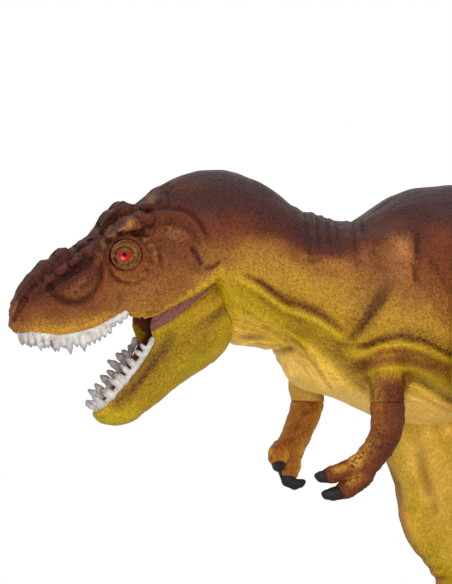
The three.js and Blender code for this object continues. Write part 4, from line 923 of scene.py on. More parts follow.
# Lower edge of the mauve cheek membrane: ahead and rise as shares of the jaw's length
MAUVE_EDGE = read("-.2 -.1 | .05 -.012 | .1 .001 | .25 .03 | .362 .055 | .459 .098 | .52 .115")
JAW_LINES = read("""
.7 3.6 156,334,.4 154,348 146,364 132,380 118,393 108,408 98,414 | -.5 3 166,336,.3 160,356 148,374 134,388 122,400
.6 3.2 160,332 180,320 200,304 219,288 | -.8 4 236,274,.5 222,288 211,300,.4 | -.8 4.2 233,300,.5 218,314 200,330,.3
.8 5 226,296,.3 210,310 192,322,.3 | .6 5 224,326,.3 206,342 186,352,.3
""")
JAW_DARK = read("""
.6 7 234,279,.8 223,289 210,300,.4 | .6 9 232,302,.9 218,314 200,330,.6 184,342,.3
.75 9 172,336,.8 162,352 148,370 134,388 118,402,.8 | .4 14 216,324,.7 200,344 178,360,.6
.42 18 190,336,.8 164,362 142,388,.9 | .35 3 104,414 100,420,.4 | .45 5 210,316 196,328
.35 7 206,352,.4 184,372,.7 160,390,.4
""")
# Middle of the jaw's side: columns, rows
JAW_SIDE = read("95 130 160 215 | 418 396 364 330")


def build_jaw():
    axes = [np.arange(52.0, 142.0, 0.9), np.arange(-29.7, 29.8, 0.9), np.arange(148.0, 262.0, 0.9)]
    points, normals, faces = surface(jaw_field, axes)
    view = side_view(points)
    ahead, rise = jaw_frame(points[:, 0], points[:, 2])
    inner = channel_field(*points.T) < WALL_NEAR
    skin = np.where(inner, 0.0, 1.0)
    lift = relief(view, JAW_LINES)
    lift += 0.20 * ripple(points, 7.0, 11) + 0.30 * ripple(points, 20.0, 12)
    rng = np.random.default_rng(8)
    for _ in range(70):
        x = rng.uniform(95, 215)
        y = np.interp(x, *JAW_SIDE) + rng.uniform(-14, 14)
        lift += 0.3 * dome(view, x, y, rng.uniform(3, 5), rng.uniform(3, 5))
    band = smooth_step(rise - JAW_LENGTH * np.interp(ahead / JAW_LENGTH, *zip(*MAUVE_EDGE)), -0.6, 0.6)
    band *= np.where(ahead < WALL_END, 1.0, 0.0)
    from_hinge = smooth_step(ahead, 3.0, 14.0)
    folds = np.cos((rise - 0.12 * ahead) * 2 * math.pi / 3.4 + 0.8 * np.sin(ahead / 5.0))
    lift = lift * skin * (1 - band) * from_hinge + 0.22 * folds * band * skin * from_hinge
    points = points + normals * lift[:, None]
    masks = empty_masks(len(points))
    masks["tone"] = 0.71 + 0.10 * smooth_step(-rise, 8.0, 26.0) + 0.02 * ripple(points, 24.0, 2)
    masks["dark"] = drawn(masks["dark"], view, JAW_DARK)
    masks["green"] = 0.95 * blob(view, 114, 418, 34, 11, -14) + 0.45 * blob(view, 180, 366, 44, 16, -32)
    wash_and_painted_light(masks, points, normals, faces, skin * (1 - band))
    masks["maroon"] = np.where(inner & ((ahead < 0.43 * JAW_LENGTH) | (rise < 3.0)), 1.0, 0.0)
    masks["mauve"] = np.maximum(band * skin, np.where(inner & (ahead > 0.5 * JAW_LENGTH) & (rise > -2.0), 1.0, 0.0))
    # Dark paint in the grooves between the membrane's folds, partly painted shade in them
    masks["dark"] = np.maximum(masks["dark"], 0.5 * band * smooth_step(-folds, 0.4, 1.0) * skin)
    make_piece("jaw_skin", points, faces, masks, jaw_vinyl, "jaw", ["lower_jaw"])


build_jaw()

# ---------------------------------------------------------------- tongue
# Tongue: ahead, half width, thickness as shares of the jaw's length
TONGUE = read("""
.3 .03 .02 | .34 .05 .03 | .42 .078 .055 | .55 .08 .06 | .68 .072 .055 | .78 .058 .045 | .85 .03 .03 | .87 .01 .012
""")


def build_tongue():
    at, half, thick = table(TONGUE, (JAW_LENGTH,) * 3, 1.5)
    floor = JAW_FLOOR * JAW_LENGTH + 0.3

    def field(X, Y, Z):
        ahead, rise = jaw_frame(X, Z)
        tall = np.interp(ahead, at, thick)
        value = sections(ahead, Y, rise, 0, floor + tall / 2, tall / 2, tall / 2, np.interp(ahead, at, half), 2.4, 2.4)
        return np.maximum(value, between(ahead, at[0], at[-1]))

    axes = [np.arange(60, 106, 0.7), np.arange(-9.1, 9.2, 0.7), np.arange(160, 216, 0.7)]
    points, normals, faces = surface(field, axes)
    ahead, rise = jaw_frame(points[:, 0], points[:, 2])
    top = smooth_step(rise, floor, floor + 3)
    lift = -0.9 * top * ridge(points[:, 1], 1.1) + 0.25 * ripple(points, 5.0, 21)
    points = points + normals * lift[:, None]
    masks = empty_masks(len(points), 0.3)
    masks["maroon"] = 1 - 0.9 * top
    masks["mauve"] = 0.9 * top
    make_piece("tongue_skin", points, faces, masks, jaw_vinyl, "jaw", ["tongue"])


build_tongue()


# ---------------------------------------------------------------- teeth
def on_grid(column, row, y):
    """Place in the figure of a point of the side view that lies at a given sideways distance."""
    return np.array([(column * GRID + y * math.sin(TURN)) / math.cos(TURN), y, (GROUND_ROW - row) * GRID])


def tooth_material():
    n = Paint("tooth_plastic")
    speck = n.noise(900, 3, 0.6)
    broad = n.noise(260, 3, 0.6)
    colour = n.ramp(broad, read(".30 .34,.29,.28 | .50 .52,.48,.44 | .72 .66,.63,.57"))
    tip = n.maths("ADD", n.mask("tip"), n.spread(speck, 0.25, 0.75, -0.30, 0.30))
    colour = n.mix(n.spread(tip, 0.35, 1.05, 0.0, 0.80), colour, (0.270, 0.225, 0.255))
    root = n.maths("ADD", n.mask("root"), n.spread(speck, 0.25, 0.75, -0.35, 0.35))
    colour = n.mix(n.spread(root, 0.60, 1.10, 0.0, 0.75), colour, (0.360, 0.200, 0.130))
    return n.finish({"Base Color": colour, "Roughness": n.spread(speck, 0.3, 0.7, 0.34, 0.50),
                     "Specular IOR Level": 0.5, "Normal": n.bump(broad, 0.0006, 0.6)})


tooth_plastic = tooth_material()
# Tooth tips on the side view: column, row, root radius
UPPER_TIPS = read("""
28.5 342 1.7 | 35.5 345 1.9 | 43 349 2 | 50.5 347 1.9 | 60 350 2.2 | 66 347 1.8 | 72.5 353 2.2 | 79 346 1.7
86 350 2.4 | 91 344 1.6 | 96 342.4 1.9 | 101 339.7 1.8 | 106.3 336.5 1.8 | 111.5 332.5 1.9 | 116 324 1.7
122.5 321.4 1.7 | 127.6 315.8 1.5
""")
LOWER_NEAR_TIPS = read("""
129 359 2.3 | 123 365.5 2 | 117 374.5 2.6 | 111 379 1.8 | 105 390 2.8 | 95 396 2 | 88.5 403.5 2.4 | 136.5 351 1.7
142.5 345 1.4
""")
LOWER_FAR_TIPS = read("""
131 348 1.9 | 118 354 2.5 | 110 361 2.5 | 109 371 2 | 102.5 376 2.6 | 97 384.5 2.3 | 90.5 390 2.4 | 124 351 1.9
""")
# Lines of the gums: along and height of the upper one, shares of the jaw's length of the lower one
UPPER_GUM = read(".118 .735 | .104 .719 | .089 .704 | .075 .696 | .057 .69 | .04 .693 | .0285 .697")
LOWER_GUM = [0.50, 0.53, 0.60, 0.68, 0.76, 0.84, 0.90, 0.945]
GUM_INSET = 3.3
GUM_STEPS = 61
MIRROR = np.array([1, -1, 1])


def arch(half_line, front):
    """Evenly spaced points along a softened line from the left over the front to the right."""
    places = np.array(half_line + [front] + [place * MIRROR for place in reversed(half_line)])
    for _ in range(3):
        quarter, three = 0.75 * places[:-1] + 0.25 * places[1:], 0.25 * places[:-1] + 0.75 * places[1:]
        places = np.concatenate([places[:1], np.stack([quarter, three], 1).reshape(-1, 3), places[-1:]])
    length = np.concatenate([[0], np.cumsum(np.linalg.norm(np.diff(places, axis=0), axis=1))])
    return along_line(np.linspace(0, length[-1], GUM_STEPS), length, places)


def along_line(at, length, places):
    return np.stack([np.interp(at, length, places[:, d]) for d in range(3)], -1)


def columns_of(places):
    """Column of each point as it is seen, on its own side of the figure."""
    return (places[:, 0] * math.cos(TURN) - places[:, 1] * math.sin(TURN)) / GRID


def build_tooth_row(name, line, teeth, away, band, body, replaced, grid):
    """Gum strip along the line with its teeth; the gum's crest lies band millimetres away from the line."""
    upper = band > 1
    shapes = Cones(0.5)
    shapes.chain(line + away * 0.2, [1.7 if upper else 1.6] * len(line))
    shapes.chain(line + away * band, [0.95] * len(line))
    for root, tip, radius in teeth:
        middle = root + 0.55 * (tip - root) + 0.3 * away
        shapes.chain([root, middle, tip], [radius, radius * 0.85, 0.6 if upper else 1.15])
    reach = 3.4
    axes = [np.arange(low - reach, high + reach, grid) for low, high in zip(*shapes.box())]
    points, normals, faces = surface(shapes.field, axes, 1, shapes.values(axes))
    lift = 0.09 * ripple(points, 3.2, 31) + 0.05 * ripple(points, 1.8, 32)
    points = points + normals * lift[:, None]
    tips = np.zeros(len(points))
    for root, tip, radius in teeth:
        way = tip - root
        share = (points - root) @ way / (way @ way)
        gap = np.linalg.norm(points - root - np.clip(share, 0, 1)[:, None] * way, axis=1)
        tips = np.maximum(tips, np.where(gap < radius + 0.5, smooth_step(share, 0.45, 1.05), 0))
    nearest = np.argmin(np.linalg.norm(points[:, None, :] - line[None, ::2, :], axis=2), axis=1) * 2
    roots = smooth_step(-((points - line[nearest]) @ away), 0.2, 1.8)
    masks = {"tip": tips, "root": roots}
    make_piece(name, points, faces, masks, tooth_plastic, body, [replaced])


def build_teeth():
    down = np.array([0.0, 0.0, -1.0])
    half_line = [np.array([share * LENGTH, GUM_INSET - skin_half(share), lip * HEIGHT]) for share, lip in UPPER_GUM]
    line = arch(half_line, np.array([0.0225 * LENGTH, 0.0, 0.701 * HEIGHT]))
    near = line[line[:, 1] <= 0]
    near = near[np.argsort(columns_of(near))]
    teeth = []
    for column, row, radius in UPPER_TIPS:
        root = along_line(column - 2.6, columns_of(near), near)
        tip = on_grid(column, row, root[1])
        root = root + down * 1.6
        teeth += [(root, tip, radius), (root * MIRROR, tip * MIRROR + np.array([0.3, 0, 1.5]), radius)]
    for y in (-4.6, 0.0, 4.6):
        root = along_line(y, line[:, 1], line) + down * 1.6
        teeth.append((root, root + down * 5.2 + np.array([1.0, 0, 0]), 1.7))
    build_tooth_row("upper_tooth_row", line, teeth, down, 1.4, "body", "upper_teeth", 0.50)

    at, top, half = jaw_table[0], jaw_table[1], jaw_table[3]

    def edge(ahead, side):
        return JAW_ROOT + JAW_AHEAD * ahead + JAW_RISE * np.interp(ahead, at, top) + np.array([0, side, 0])

    half_line = [edge(share * JAW_LENGTH, GUM_INSET - np.interp(share * JAW_LENGTH, at, half)) for share in LOWER_GUM]
    line = arch(half_line, edge(0.972 * JAW_LENGTH, 0))
    teeth = []
    for tips, keep in ((LOWER_NEAR_TIPS, line[:, 1] <= 0), (LOWER_FAR_TIPS, line[:, 1] >= 0)):
        part = line[keep]
        for column, row, radius in tips:
            across, down_here = columns_of(part) - column, GROUND_ROW - part[:, 2] / GRID - row
            root = part[np.argmin(np.abs(across * JAW_RISE[2] + down_here * JAW_RISE[0]))]
            teeth.append((root + JAW_RISE * 0.8, on_grid(column, row, root[1] * 0.95), radius))
    for y in (-4.2, 4.2):
        root = along_line(y, line[:, 1], line) + JAW_RISE * 1.2
        teeth.append((root, root + JAW_RISE * 5.0 + JAW_AHEAD * 0.8, 1.9))
    build_tooth_row("lower_tooth_row", line, teeth, JAW_RISE, 0.4, "jaw", "lower_teeth", 0.48)


build_teeth()


# ---------------------------------------------------------------- eyes
def eye_material():
    n = Paint("eye_paint")
    speck = n.noise(900, 3, 0.6)
    cloud = n.noise(420, 4, 0.6)
    olive = n.ramp(cloud, read(".30 .090,.034,.008 | .52 .190,.076,.013 | .75 .300,.125,.020"))
    rust = n.ramp(cloud, read(".30 .090,.026,.010 | .52 .190,.062,.018 | .75 .290,.110,.026"))
    lid = n.mix(n.spread(n.mask("lid"), 0.3, 0.9), olive, rust)
    # Dark lines of paint; in the lids' folds and creases they are partly painted shade
    line = n.maths("MULTIPLY", n.mask("line"), n.spread(speck, 0.25, 0.75, 0.5, 1.2), clamp=True)
    colour = n.mix(line, lid, (0.022, 0.012, 0.006))
    colour = n.mix(n.spread(n.mask("iris"), 0.45, 0.55), colour, (0.520, 0.003, 0.003))
    colour = n.mix(n.spread(n.mask("pupil"), 0.45, 0.55), colour, (0.004, 0.004, 0.004))
    bump = n.maths("MULTIPLY", n.cells(900), n.spread(n.mask("iris"), 0.3, 0.7, 1.0, 0.0))
    return n.finish({"Base Color": colour, "Roughness": n.spread(n.mask("iris"), 0.3, 0.7, 0.48, 0.16),
                     "Specular IOR Level": 0.14, "Normal": n.bump(bump, 0.0003, 0.5)})


eye_paint = eye_material()


def build_eye(side):
    """Button of rings round the eye's axis: ball, lids and the ring of creases round them."""
    axis = EYE_AXIS * np.array([1, side, 1])
    place = EYE_PLACE * np.array([1, side, 1])
    forward = np.array([-1.0, 0, 0]) + axis * axis[0]
    forward /= np.linalg.norm(forward)
    up = np.cross(axis, forward)
    up = up * np.sign(up[2])
    rings, turns = 44, 108
    radius = EYE_RADIUS * np.linspace(0, 1, rings + 1)[1:] ** 0.9
    angle = np.linspace(0, 2 * math.pi, turns, endpoint=False)
    R, T = np.meshgrid(radius, angle, indexing="ij")
    a, b = np.append((R * np.cos(T)).ravel(), 0), np.append((R * np.sin(T)).ravel(), 0)
    r, t = np.hypot(a, b), np.arctan2(b, a)
    flat = np.stack([a, b, r * 0], 1)
    loose = 0.5 * ripple(flat, 7.0, 42)

    # Almond opening of the lids, a little ahead of the middle, flatter above
    x, y = a - 1.1, b + 0.5
    opening = np.sqrt((x / 3.4) ** 2 + (y / np.where(y > 0, 2.3, 2.7)) ** 2)
    lids = 4.7 + 1.5 * np.sqrt(np.clip(1 - (r / 9.6) ** 2, 0, 1))
    upper = np.sqrt((x / 5.0) ** 2 + ((y - 0.4) / 4.0) ** 2) + 0.06 * loose
    lower = np.sqrt((x / 5.4) ** 2 + ((y + 0.6) / 4.6) ** 2) + 0.06 * loose
    above, below = smooth_step(y, -0.6, 1.4), smooth_step(-y, -0.6, 1.4)
    fold = 0.75 * above * ridge(upper - 1, 0.11) + 0.55 * below * ridge(lower - 1, 0.10)
    outer = ridge(r - 7.1 - 0.7 * loose, 0.50) * np.clip(0.75 + 0.7 * ripple(flat, 5.0, 44), 0.2, 1)
    spokes = np.clip(np.sin(11 * t + 3 * loose), 0, 1) * ridge(r - 6.3, 1.2)
    swell = 0.7 * above * ridge(upper - 1.3, 0.22) + 0.5 * below * ridge(lower - 1.28, 0.2)
    rough = 0.14 * ripple(flat, 2.0, 41)
    skin = lids - fold - 0.7 * outer - 0.3 * spokes + 0.65 * ridge(opening - 1.25, 0.20) + swell + rough \
        - 0.9 * smooth_step(r, 7.6, 8.4)
    ball = 4.6 + 1.2 * np.sqrt(np.clip(1 - (np.hypot(x, y) / 4.6) ** 2, 0, 1))
    inside = smooth_step(1.04 - opening, -0.05, 0.05)
    height = skin * (1 - inside) + ball * inside
    # Closed back: the rim goes down to the socket's floor
    top = np.stack([a, b, height], 1)
    foot = top[(rings - 1) * turns:rings * turns] * np.array([1, 1, 0]) + np.array([0, 0, 0.3])
    local = np.concatenate([top, foot, [[0, 0, 0.3]]])
    points = place + local[:, :1] * forward + local[:, 1:2] * up + local[:, 2:] * axis
    faces = []
    centre, edge = rings * turns, (rings - 1) * turns
    for k in range(turns):
        after = (k + 1) % turns
        faces.append((centre, k, after))
        for row in range(0, edge, turns):
            faces.append((row + k, row + turns + k, row + turns + after, row + after))
        faces.append((edge + k, centre + 1 + k, centre + 1 + after, edge + after))
        faces.append((centre + 1 + k, len(points) - 1, centre + 1 + after))
    if np.dot(np.cross(forward, up), axis) < 0:
        faces = [face[::-1] for face in faces]
    # Dark lines along the lids' folds, the ring of creases and the spokes, partly painted shade in them, and a line
    # round the lids' opening
    broken = np.clip(0.6 + 0.8 * ripple(flat, 3.0, 43), 0, 1)
    crease = 0.9 * fold / 0.75 + 0.75 * outer + 0.5 * spokes + ridge(opening - 1.07, 0.07)
    front = {"iris": opening < 1.02, "pupil": np.hypot(x, y - 0.55) < 1.35,
             "line": np.clip(crease * broken, 0, 1), "lid": smooth_step(r, 3.0, 7.5)}
    masks = {key: np.append(values * 1.0, np.full(turns + 1, key == "lid")) for key, values in front.items()}
    name = side_name(side)
    make_piece(name + "_eye_dome", points, faces, masks, eye_paint, "body", [name + "_eye"])


for side in (-1, 1):
    build_eye(side)

# ---------------------------------------------------------------- arms
limb_vinyl = vinyl("limb_vinyl", 1.25, LIMB_STOPS)
# Centre lines on the side view as they are seen: column, row, radius, sideways distance
ARM_LINES = {-1: read("""
386.4 401.4 8.6 -44.7 | 386.6 412 8.3 -45.2 | 387 421 8.1 -45.6 | 384.5 433 8 -46 | 377.5 446 7.7 -46.2
369 457 7.2 -46 | 361 465 6.4 -45.6
"""), 1: read("""
307.5 401.4 8.3 44.7 | 305 412 8.1 44.6 | 301.5 422 7.9 44.3 | 296.5 435 7.5 43.4 | 291 446 7.3 42
287.5 456 7.5 40.4 | 287 464 6.6 39.2
""")}
FINGER_LINES = {-1: read("""
356,464,5.4,-46.4 348,467.5,4.6,-46.8 340,470.5,4.4,-46.8 332,472.8,4.2,-46.6 327.5,474.4,4,-46.6
362,474,5.4,-44.4 355,481,5,-43.6 348,486,4.9,-43 341.5,489,4.5,-42.8
"""), 1: read("""
281,450,5,38 277.5,454,4.8,34.6 277.5,460,4.1,31.6 | 290,464,5,38.4 289,471,4.5,36.4 287,475,3.8,34.6
""")}
CLAW_LINES = {-1: read("""
326,474.8,3.7,-46.6 320.5,475,3.2,-46.6 316.8,474.2,1.9,-46.5
338.5,490.8,4.1,-42.9 332,492.4,3.7,-42.8 326,492.8,2.8,-42.6 323,492,1.5,-42.6
"""), 1: read("""
277.6,461,3.6,33.2 278.3,465.4,3.5,30 277.4,467,2.2,27.4
285.5,474,3.5,35 288,480.4,3.6,33.6 294.5,484.2,3.1,32.4 300.5,483.2,2.4,31.4 303.2,481.8,1.5,31
""")}
ARM_LIFTS = read("""
.7 3 372,420 380,432 390,442 | -.5 2.4 368,438 378,446 386,456 | -.5 2 366,452 374,462
.5 2.6 374,396 376,410 374,424
""")
# Light strip of the near forearm, palm and fingers
ARM_LIGHT = read("""
.95 10 380,430,.6 374,440 364,451 354,460 | .8 5 344,465 333,468.5 | .8 6 348,481 358,474
""")
# Middle of the near arm: rows, columns
ARM_MIDDLE = read("401 412 421 433 442 | 386.4 386.6 387 384.5 381")
ARM_RUST = read("1 386 446 22 26 | .7 346 488 6 9 30 | .6 331 473 4 9 10")
ARM_GAP, ARM_INSET = 0.15, 0.05


def build_arm(side):
    def places(line):
        return [on_grid(column, row, y) for column, row, _, y in line], [radius for _, _, radius, _ in line]

    flesh, claws = Cones(2.6), Cones(0.5)
    flesh.chain(*places(ARM_LINES[side]))
    column, row, _, y = ARM_LINES[side][-1]
    for line in FINGER_LINES[side]:
        flesh.chain(*places([(column, row, 5.4, y)] + line))
    for line in CLAW_LINES[side]:
        claws.chain(*places(line))
    seam = seam_place(side)
    top = seam[2] - ARM_GAP

    def field(X, Y, Z):
        radius = SLEEVE_RADIUS[side] - ARM_INSET
        upper = round_cone(X, Y, Z, (seam[0], seam[1], top + 3), (seam[0], seam[1], top - 2.0), radius, radius)
        value = join(join(flesh.field(X, Y, Z), upper, 2.0), claws.field(X, Y, Z))
        return np.maximum(value, Z - top)

    boxes = np.array([flesh.box(), claws.box()])
    low, high = boxes.min(axis=(0, 1)), boxes.max(axis=(0, 1))
    axes = [np.arange(low[d] - 12, high[d] + 12, 0.62) for d in range(2)]
    axes.append(spans((low[2] - 12, top - 1.5, 0.62), (top - 1.4, top + 1.0, 0.25)))
    points, normals, faces = surface(field, axes)
    claw = (claws.field(*points.T) < flesh.field(*points.T) - 0.05).astype(float)
    view = side_view(points)
    lift = 0.28 * ripple(points, 6.0, 50 + side) + 0.16 * ripple(points, 2.6, 52)
    if side < 0:
        lift += relief(view, ARM_LIFTS)
    rng = np.random.default_rng(60 + side)
    for _ in range(60):
        centre = points[rng.integers(len(points))]
        gap = np.linalg.norm(points - centre, axis=1)
        lift += rng.uniform(0.15, 0.35) * np.clip(1 - (gap / rng.uniform(1.2, 2.2)) ** 2, 0, 1)
    lift *= (1 - claw) * smooth_step(top - points[:, 2], 0.4, 3.0)
    points = points + normals * lift[:, None]
    masks = empty_masks(len(points))
    if side < 0:
        middle = np.interp(view[:, 1], *ARM_MIDDLE)
        light = 0.50 * smooth_step(middle - view[:, 0], 0.5, 8.5) * smooth_step(446 - view[:, 1], 0, 14)
        light = drawn(light, view, ARM_LIGHT)
        tone = 0.23 + 0.72 * light
        crackle = np.clip(1.15 - 4.0 * np.abs(ripple(points, 3.0, 57)), 0, 1)
        masks["dark"] = 0.85 * crackle * light + np.clip(1.0 * ripple(points, 3.0, 58) - 0.3, 0, 0.5) * (0.3 + light)
        masks["dark"] = np.maximum(masks["dark"], 0.55 * blob(view, 388, 446, 18, 22))
        masks["rust"] = drawn(masks["rust"], view, ARM_RUST)
        masks["tan"] = 0.7 * stroke(view, 5, [(352, 480), (362, 474)]) * (1 - light)
    else:
        tone = 0.60 + 0.34 * smooth_step(normals[:, 0], 0.1, 0.9) + 0.16 * smooth_step(-normals[:, 0], 0.5, 1.0)
        masks["rust"] = 0.6 * blob(points[:, [0, 2]], 92, 138, 9, 8) + 0.12
        masks["rust"] = np.maximum(masks["rust"], np.clip(0.7 * ripple(points, 7.0, 58) - 0.2, 0, 0.6))
    masks["tone"] = np.clip(tone + 0.05 * ripple(points, 9.0, 55), 0.02, 0.98)
    masks["claw"] = claw
    wash_and_painted_light(masks, points, normals, faces, (1 - claw) * smooth_step(top - points[:, 2], 0.5, 3.0), 0.16, 0.22)
    name = side_name(side) + "_arm"
    make_piece(name + "_skin", points, faces, masks, limb_vinyl, name, [name])


for side in (-1, 1):
    build_arm(side)

# ---------------------------------------------------------------- legs
leg_table = table(LEG, (HEIGHT, LENGTH, LENGTH, WIDTH, WIDTH), 3.0)
# Toes: turn and size; then their shape from the ball: far, radius; then the claws: far, level, radius
TOES = [(1, 0.90), (0, 1.00), (-1, 0.86)]
TOE_SPREAD = math.radians(24)
TOE_LENGTH, CLAW_LENGTH = 52, 15
TOE_SHAPE = read("0 9.2 | .22 8.6 | .42 7.2 | .62 7.9 | .80 6.9 | 1 4.6")
CLAW_SHAPE = read("-.30 5.4 3.9 | .15 5.6 3.5 | .60 4.2 2.3 | .98 1.8 .7")
SWINGS = (-18, -9, 0, 9, 18)
# Leg lines by place along and height, in millimetres
LEG_LINES = read("""
-1.6 5 252,196,.3 262,176 276,160 296,152 314,156,.4 | 1.4 9 258,222,.3 270,196 292,180 312,186,.4
-1.2 4 254,150,.3 257,136 262,118 270,100,.3 | 1 6 282,146,.3 284,124 284,104 284,84,.4
-1 4 300,200,.2 306,176 300,150,.3 | -.8 3 262,40,.3 272,34 286,32,.4 | -.8 3 262,28,.3 272,24 286,23,.4
""")
# Dark paint along the sunk lines of the legs, partly painted shade in these folds
LEG_DARK = read("""
.45 5 252,198,.3 262,177 276,161 296,153 314,157,.4 | .4 4 254,150,.3 257,136 262,118 270,100,.3
.4 3 262,40,.3 272,34 286,32,.4 | .4 3 262,28,.3 272,24 286,23,.4
""")
# Tones and the shin's profile: heights, then values
OUTER_TONE = read("0 30 90 130 180 215 262 | .46 .40 .36 .52 .46 .27 .16")
INNER_TONE = read("0 30 80 150 196 222 262 | .62 .60 .84 .92 .90 .40 .16")
SHIN = read("60 90 104 112 120 132 150 | 0 1.6 1.6 -1 -2.6 -1.4 0")
SWING_GAP = 1.3


def build_leg(side):
    stride = STRIDE if side < 0 else 0.0
    ball = np.array([0.480 * LENGTH + stride, side * 0.500 * WIDTH, 0.0])
    toes, claws = Cones(3.0), Cones(0.5)
    toes.chain([ball + np.array([12, 0, 9]), ball + np.array([0, 0, 9])], [9.0, 11.0])
    for turn, size in TOES:
        heading = turn * TOE_SPREAD * side
        way = np.array([-math.cos(heading), math.sin(heading), 0])
        reach = way * TOE_LENGTH * size
        toes.chain([ball + reach * far + np.array([0, 0, radius * 0.80]) for far, radius in TOE_SHAPE],
                   [radius for far, radius in TOE_SHAPE])
        claws.chain([ball + reach + way * (far * CLAW_LENGTH) + np.array([0, 0, level])
                     for far, level, radius in CLAW_SHAPE], [radius for far, level, radius in CLAW_SHAPE])

    def shank(X, Y, Z):
        at, along, reach, out, half = leg_table
        place = np.interp(Z, at, along) + stride * np.clip(1 - Z / HIP[2], 0, 1)
        wide = np.interp(Z, at, half)
        value = sections(Z, X, Y, place, side * np.interp(Z, at, out), wide, wide, np.interp(Z, at, reach), 2.2, 2.2)
        return np.maximum(value, Z - at[-1])

    def field(X, Y, Z):
        value = join(shank(X, Y, Z), toes.field(X, Y, Z), 7.0)
        # Room for the skin of the flank over the whole swing
        x, z = X - HIP[0], Z - HIP[2]
        for angle in SWINGS:
            c, s = math.cos(math.radians(angle)), math.sin(math.radians(angle))
            value = np.maximum(value, -skin_field(HIP[0] + c * x - s * z, Y, HIP[2] + s * x + c * z, SWING_GAP))
        boss = np.maximum(np.hypot(x, z) - HIP_RADIUS, between(Y * side, HIP[1] + 0.3, 0.55 * WIDTH))
        value = join(join(value, boss), claws.field(X, Y, Z))
        return np.maximum(value, -Z)

    sides = np.arange(24.0, 84.5, 1.7) if side > 0 else np.arange(-84.5, -24.0, 1.7)
    points, normals, faces = surface(field, [np.arange(198.0, 334.0, 1.75), sides, np.arange(-1.6, 265.0, 1.8)])
    claw = (claws.field(*points.T) < toes.field(*points.T) - 0.05).astype(float)
    view = side_view(points)
    lift = 0.5 * ripple(points, 22.0, 70) + 0.28 * ripple(points, 9.0, 71)
    x, z = points[:, 0] - stride * np.clip(1 - points[:, 2] / HIP[2], 0, 1), points[:, 2].copy()
    upright = np.stack([x, z], 1)
    # Muscle folds of the thigh and shin, scutes over the shin and toes
    lift += relief(upright, LEG_LINES)
    front = smooth_step(-normals[:, 0], 0.1, 0.8) * smooth_step(90 - z, 0, 20) * smooth_step(z, 16, 24)
    lift += 0.45 * front * np.cos(z * 2 * math.pi / 6.0)
    gap = np.hypot(points[:, 0] - ball[0], points[:, 1] - ball[1])
    over = smooth_step(normals[:, 2], 0.0, 0.7) * smooth_step(26 - z, 0, 8) * smooth_step(gap, 12, 20)
    lift += 0.45 * over * np.cos(gap * 2 * math.pi / 5.4)
    if side > 0:
        lift += smooth_step(-normals[:, 0], 0.2, 0.9) * np.interp(z, *SHIN)
    lift *= (1 - claw) * smooth_step(z, 0.3, 3.0)
    points = points + normals * lift[:, None]
    outward = smooth_step(normals[:, 1] * side, *((-0.85, -0.15) if side < 0 else (-0.30, 0.25)))
    masks = empty_masks(len(points))
    masks["tone"] = np.interp(z, *OUTER_TONE) * outward + np.interp(z, *INNER_TONE) * (1 - outward) \
        + 0.03 * ripple(points, 16.0, 73)
    edge = smooth_step(-normals[:, 0], 0.70, 1.0)
    masks["tan"] = 0.80 * edge * smooth_step(170 - z, 0, 60)
    masks["rust"] = 0.25 * edge * smooth_step(130 - z, 0, 30) + 0.4 * outward * blob(upright, 290, 175, 30, 26)
    masks["dark"] = drawn(np.clip(0.45 * ripple(points, 14.0, 74) - 0.15, 0, 1) * outward, upright, LEG_DARK)
    # The thigh's front carries on the paint of the flank
    flank = empty_masks(len(points))
    paint_side(view, flank)
    blend = smooth_step(264 - x, 0, 16) * smooth_step(z, 168, 190) * outward
    for key in ("tone", "rust", "dark", "tan", "green"):
        masks[key] = masks[key] * (1 - blend) + flank[key] * blend
    masks["claw"] = claw
    wash_and_painted_light(masks, points, normals, faces, (1 - claw) * smooth_step(z, 1.0, 5.0))
    name = side_name(side) + "_leg"
    make_piece(name + "_skin", points, faces, masks, leg_vinyl, name, [name])


for side in (-1, 1):
    build_leg(side)

# ---------------------------------------------------------------- tail
tail_table = table(TAIL, (LENGTH, HEIGHT, WIDTH, WIDTH, WIDTH), 4.0)
# Tone from the top of the tail to its bottom: shares of the height, then values
TAIL_TONE = read("0 .22 .46 .72 .87 1 | .04 .20 .46 .69 .88 .98")
TAIL_GAP = 0.06


def build_tail():
    at, level, tall, half, bend = tail_table
    start = at[0] + TAIL_GAP

    def field(X, Y, Z):
        high = np.interp(X, at, tall)
        value = sections(X, Y, Z, np.interp(X, at, bend), np.interp(X, at, level), high, high, np.interp(X, at, half),
                         2.0, 2.0)
        return np.maximum(value, between(X, start, at[-1]))

    axes = [np.arange(343.0, 562.0, 2.0), np.arange(-42.0, 42.1, 1.6), np.arange(184.0, 270.0, 1.6)]
    points, normals, faces = surface(field, axes)
    here = np.interp(points[:, 0], at, tall)
    drop = (np.interp(points[:, 0], at, level) + here - points[:, 2]) / (2 * here)
    lift = 0.5 * ripple(points, 24.0, 80) + 0.25 * ripple(points, 9.0, 81)
    wrap = np.cos(points[:, 0] * 2 * math.pi / 13.0 + 1.2 * np.sin(drop * 5))
    lift += 0.22 * wrap * smooth_step(points[:, 0], 350, 380)
    groove = ridge(drop - 0.56, 0.05)
    lift -= 0.9 * groove * smooth_step(480 - points[:, 0], 0, 100)
    lift *= smooth_step(points[:, 0], start, start + 16) * np.clip(here / 12, 0, 1)
    points = points + normals * lift[:, None]
    masks = empty_masks(len(points))
    masks["tone"] = np.interp(drop, *TAIL_TONE)
    # Random dark patches over the top, and dark paint along the groove that is partly painted shade in it
    masks["dark"] = np.clip(0.5 * ripple(points, 12.0, 82) - 0.1, 0, 1) * smooth_step(0.62 - drop, 0, 0.3) \
        + 0.5 * groove * smooth_step(470 - points[:, 0], 0, 90)
    masks["rust"] = 0.5 * blob(np.stack([points[:, 0], drop * 100], 1), 380, 30, 60, 14)
    masks["green"] = 0.6 * ridge(drop - 0.66, 0.06) * smooth_step(460 - points[:, 0], 0, 90)
    wash_and_painted_light(masks, points, normals, faces, smooth_step(points[:, 0], start, start + 16))
    make_piece("tail_skin", points, faces, masks, tail_vinyl, "tail", ["tail"])


build_tail()


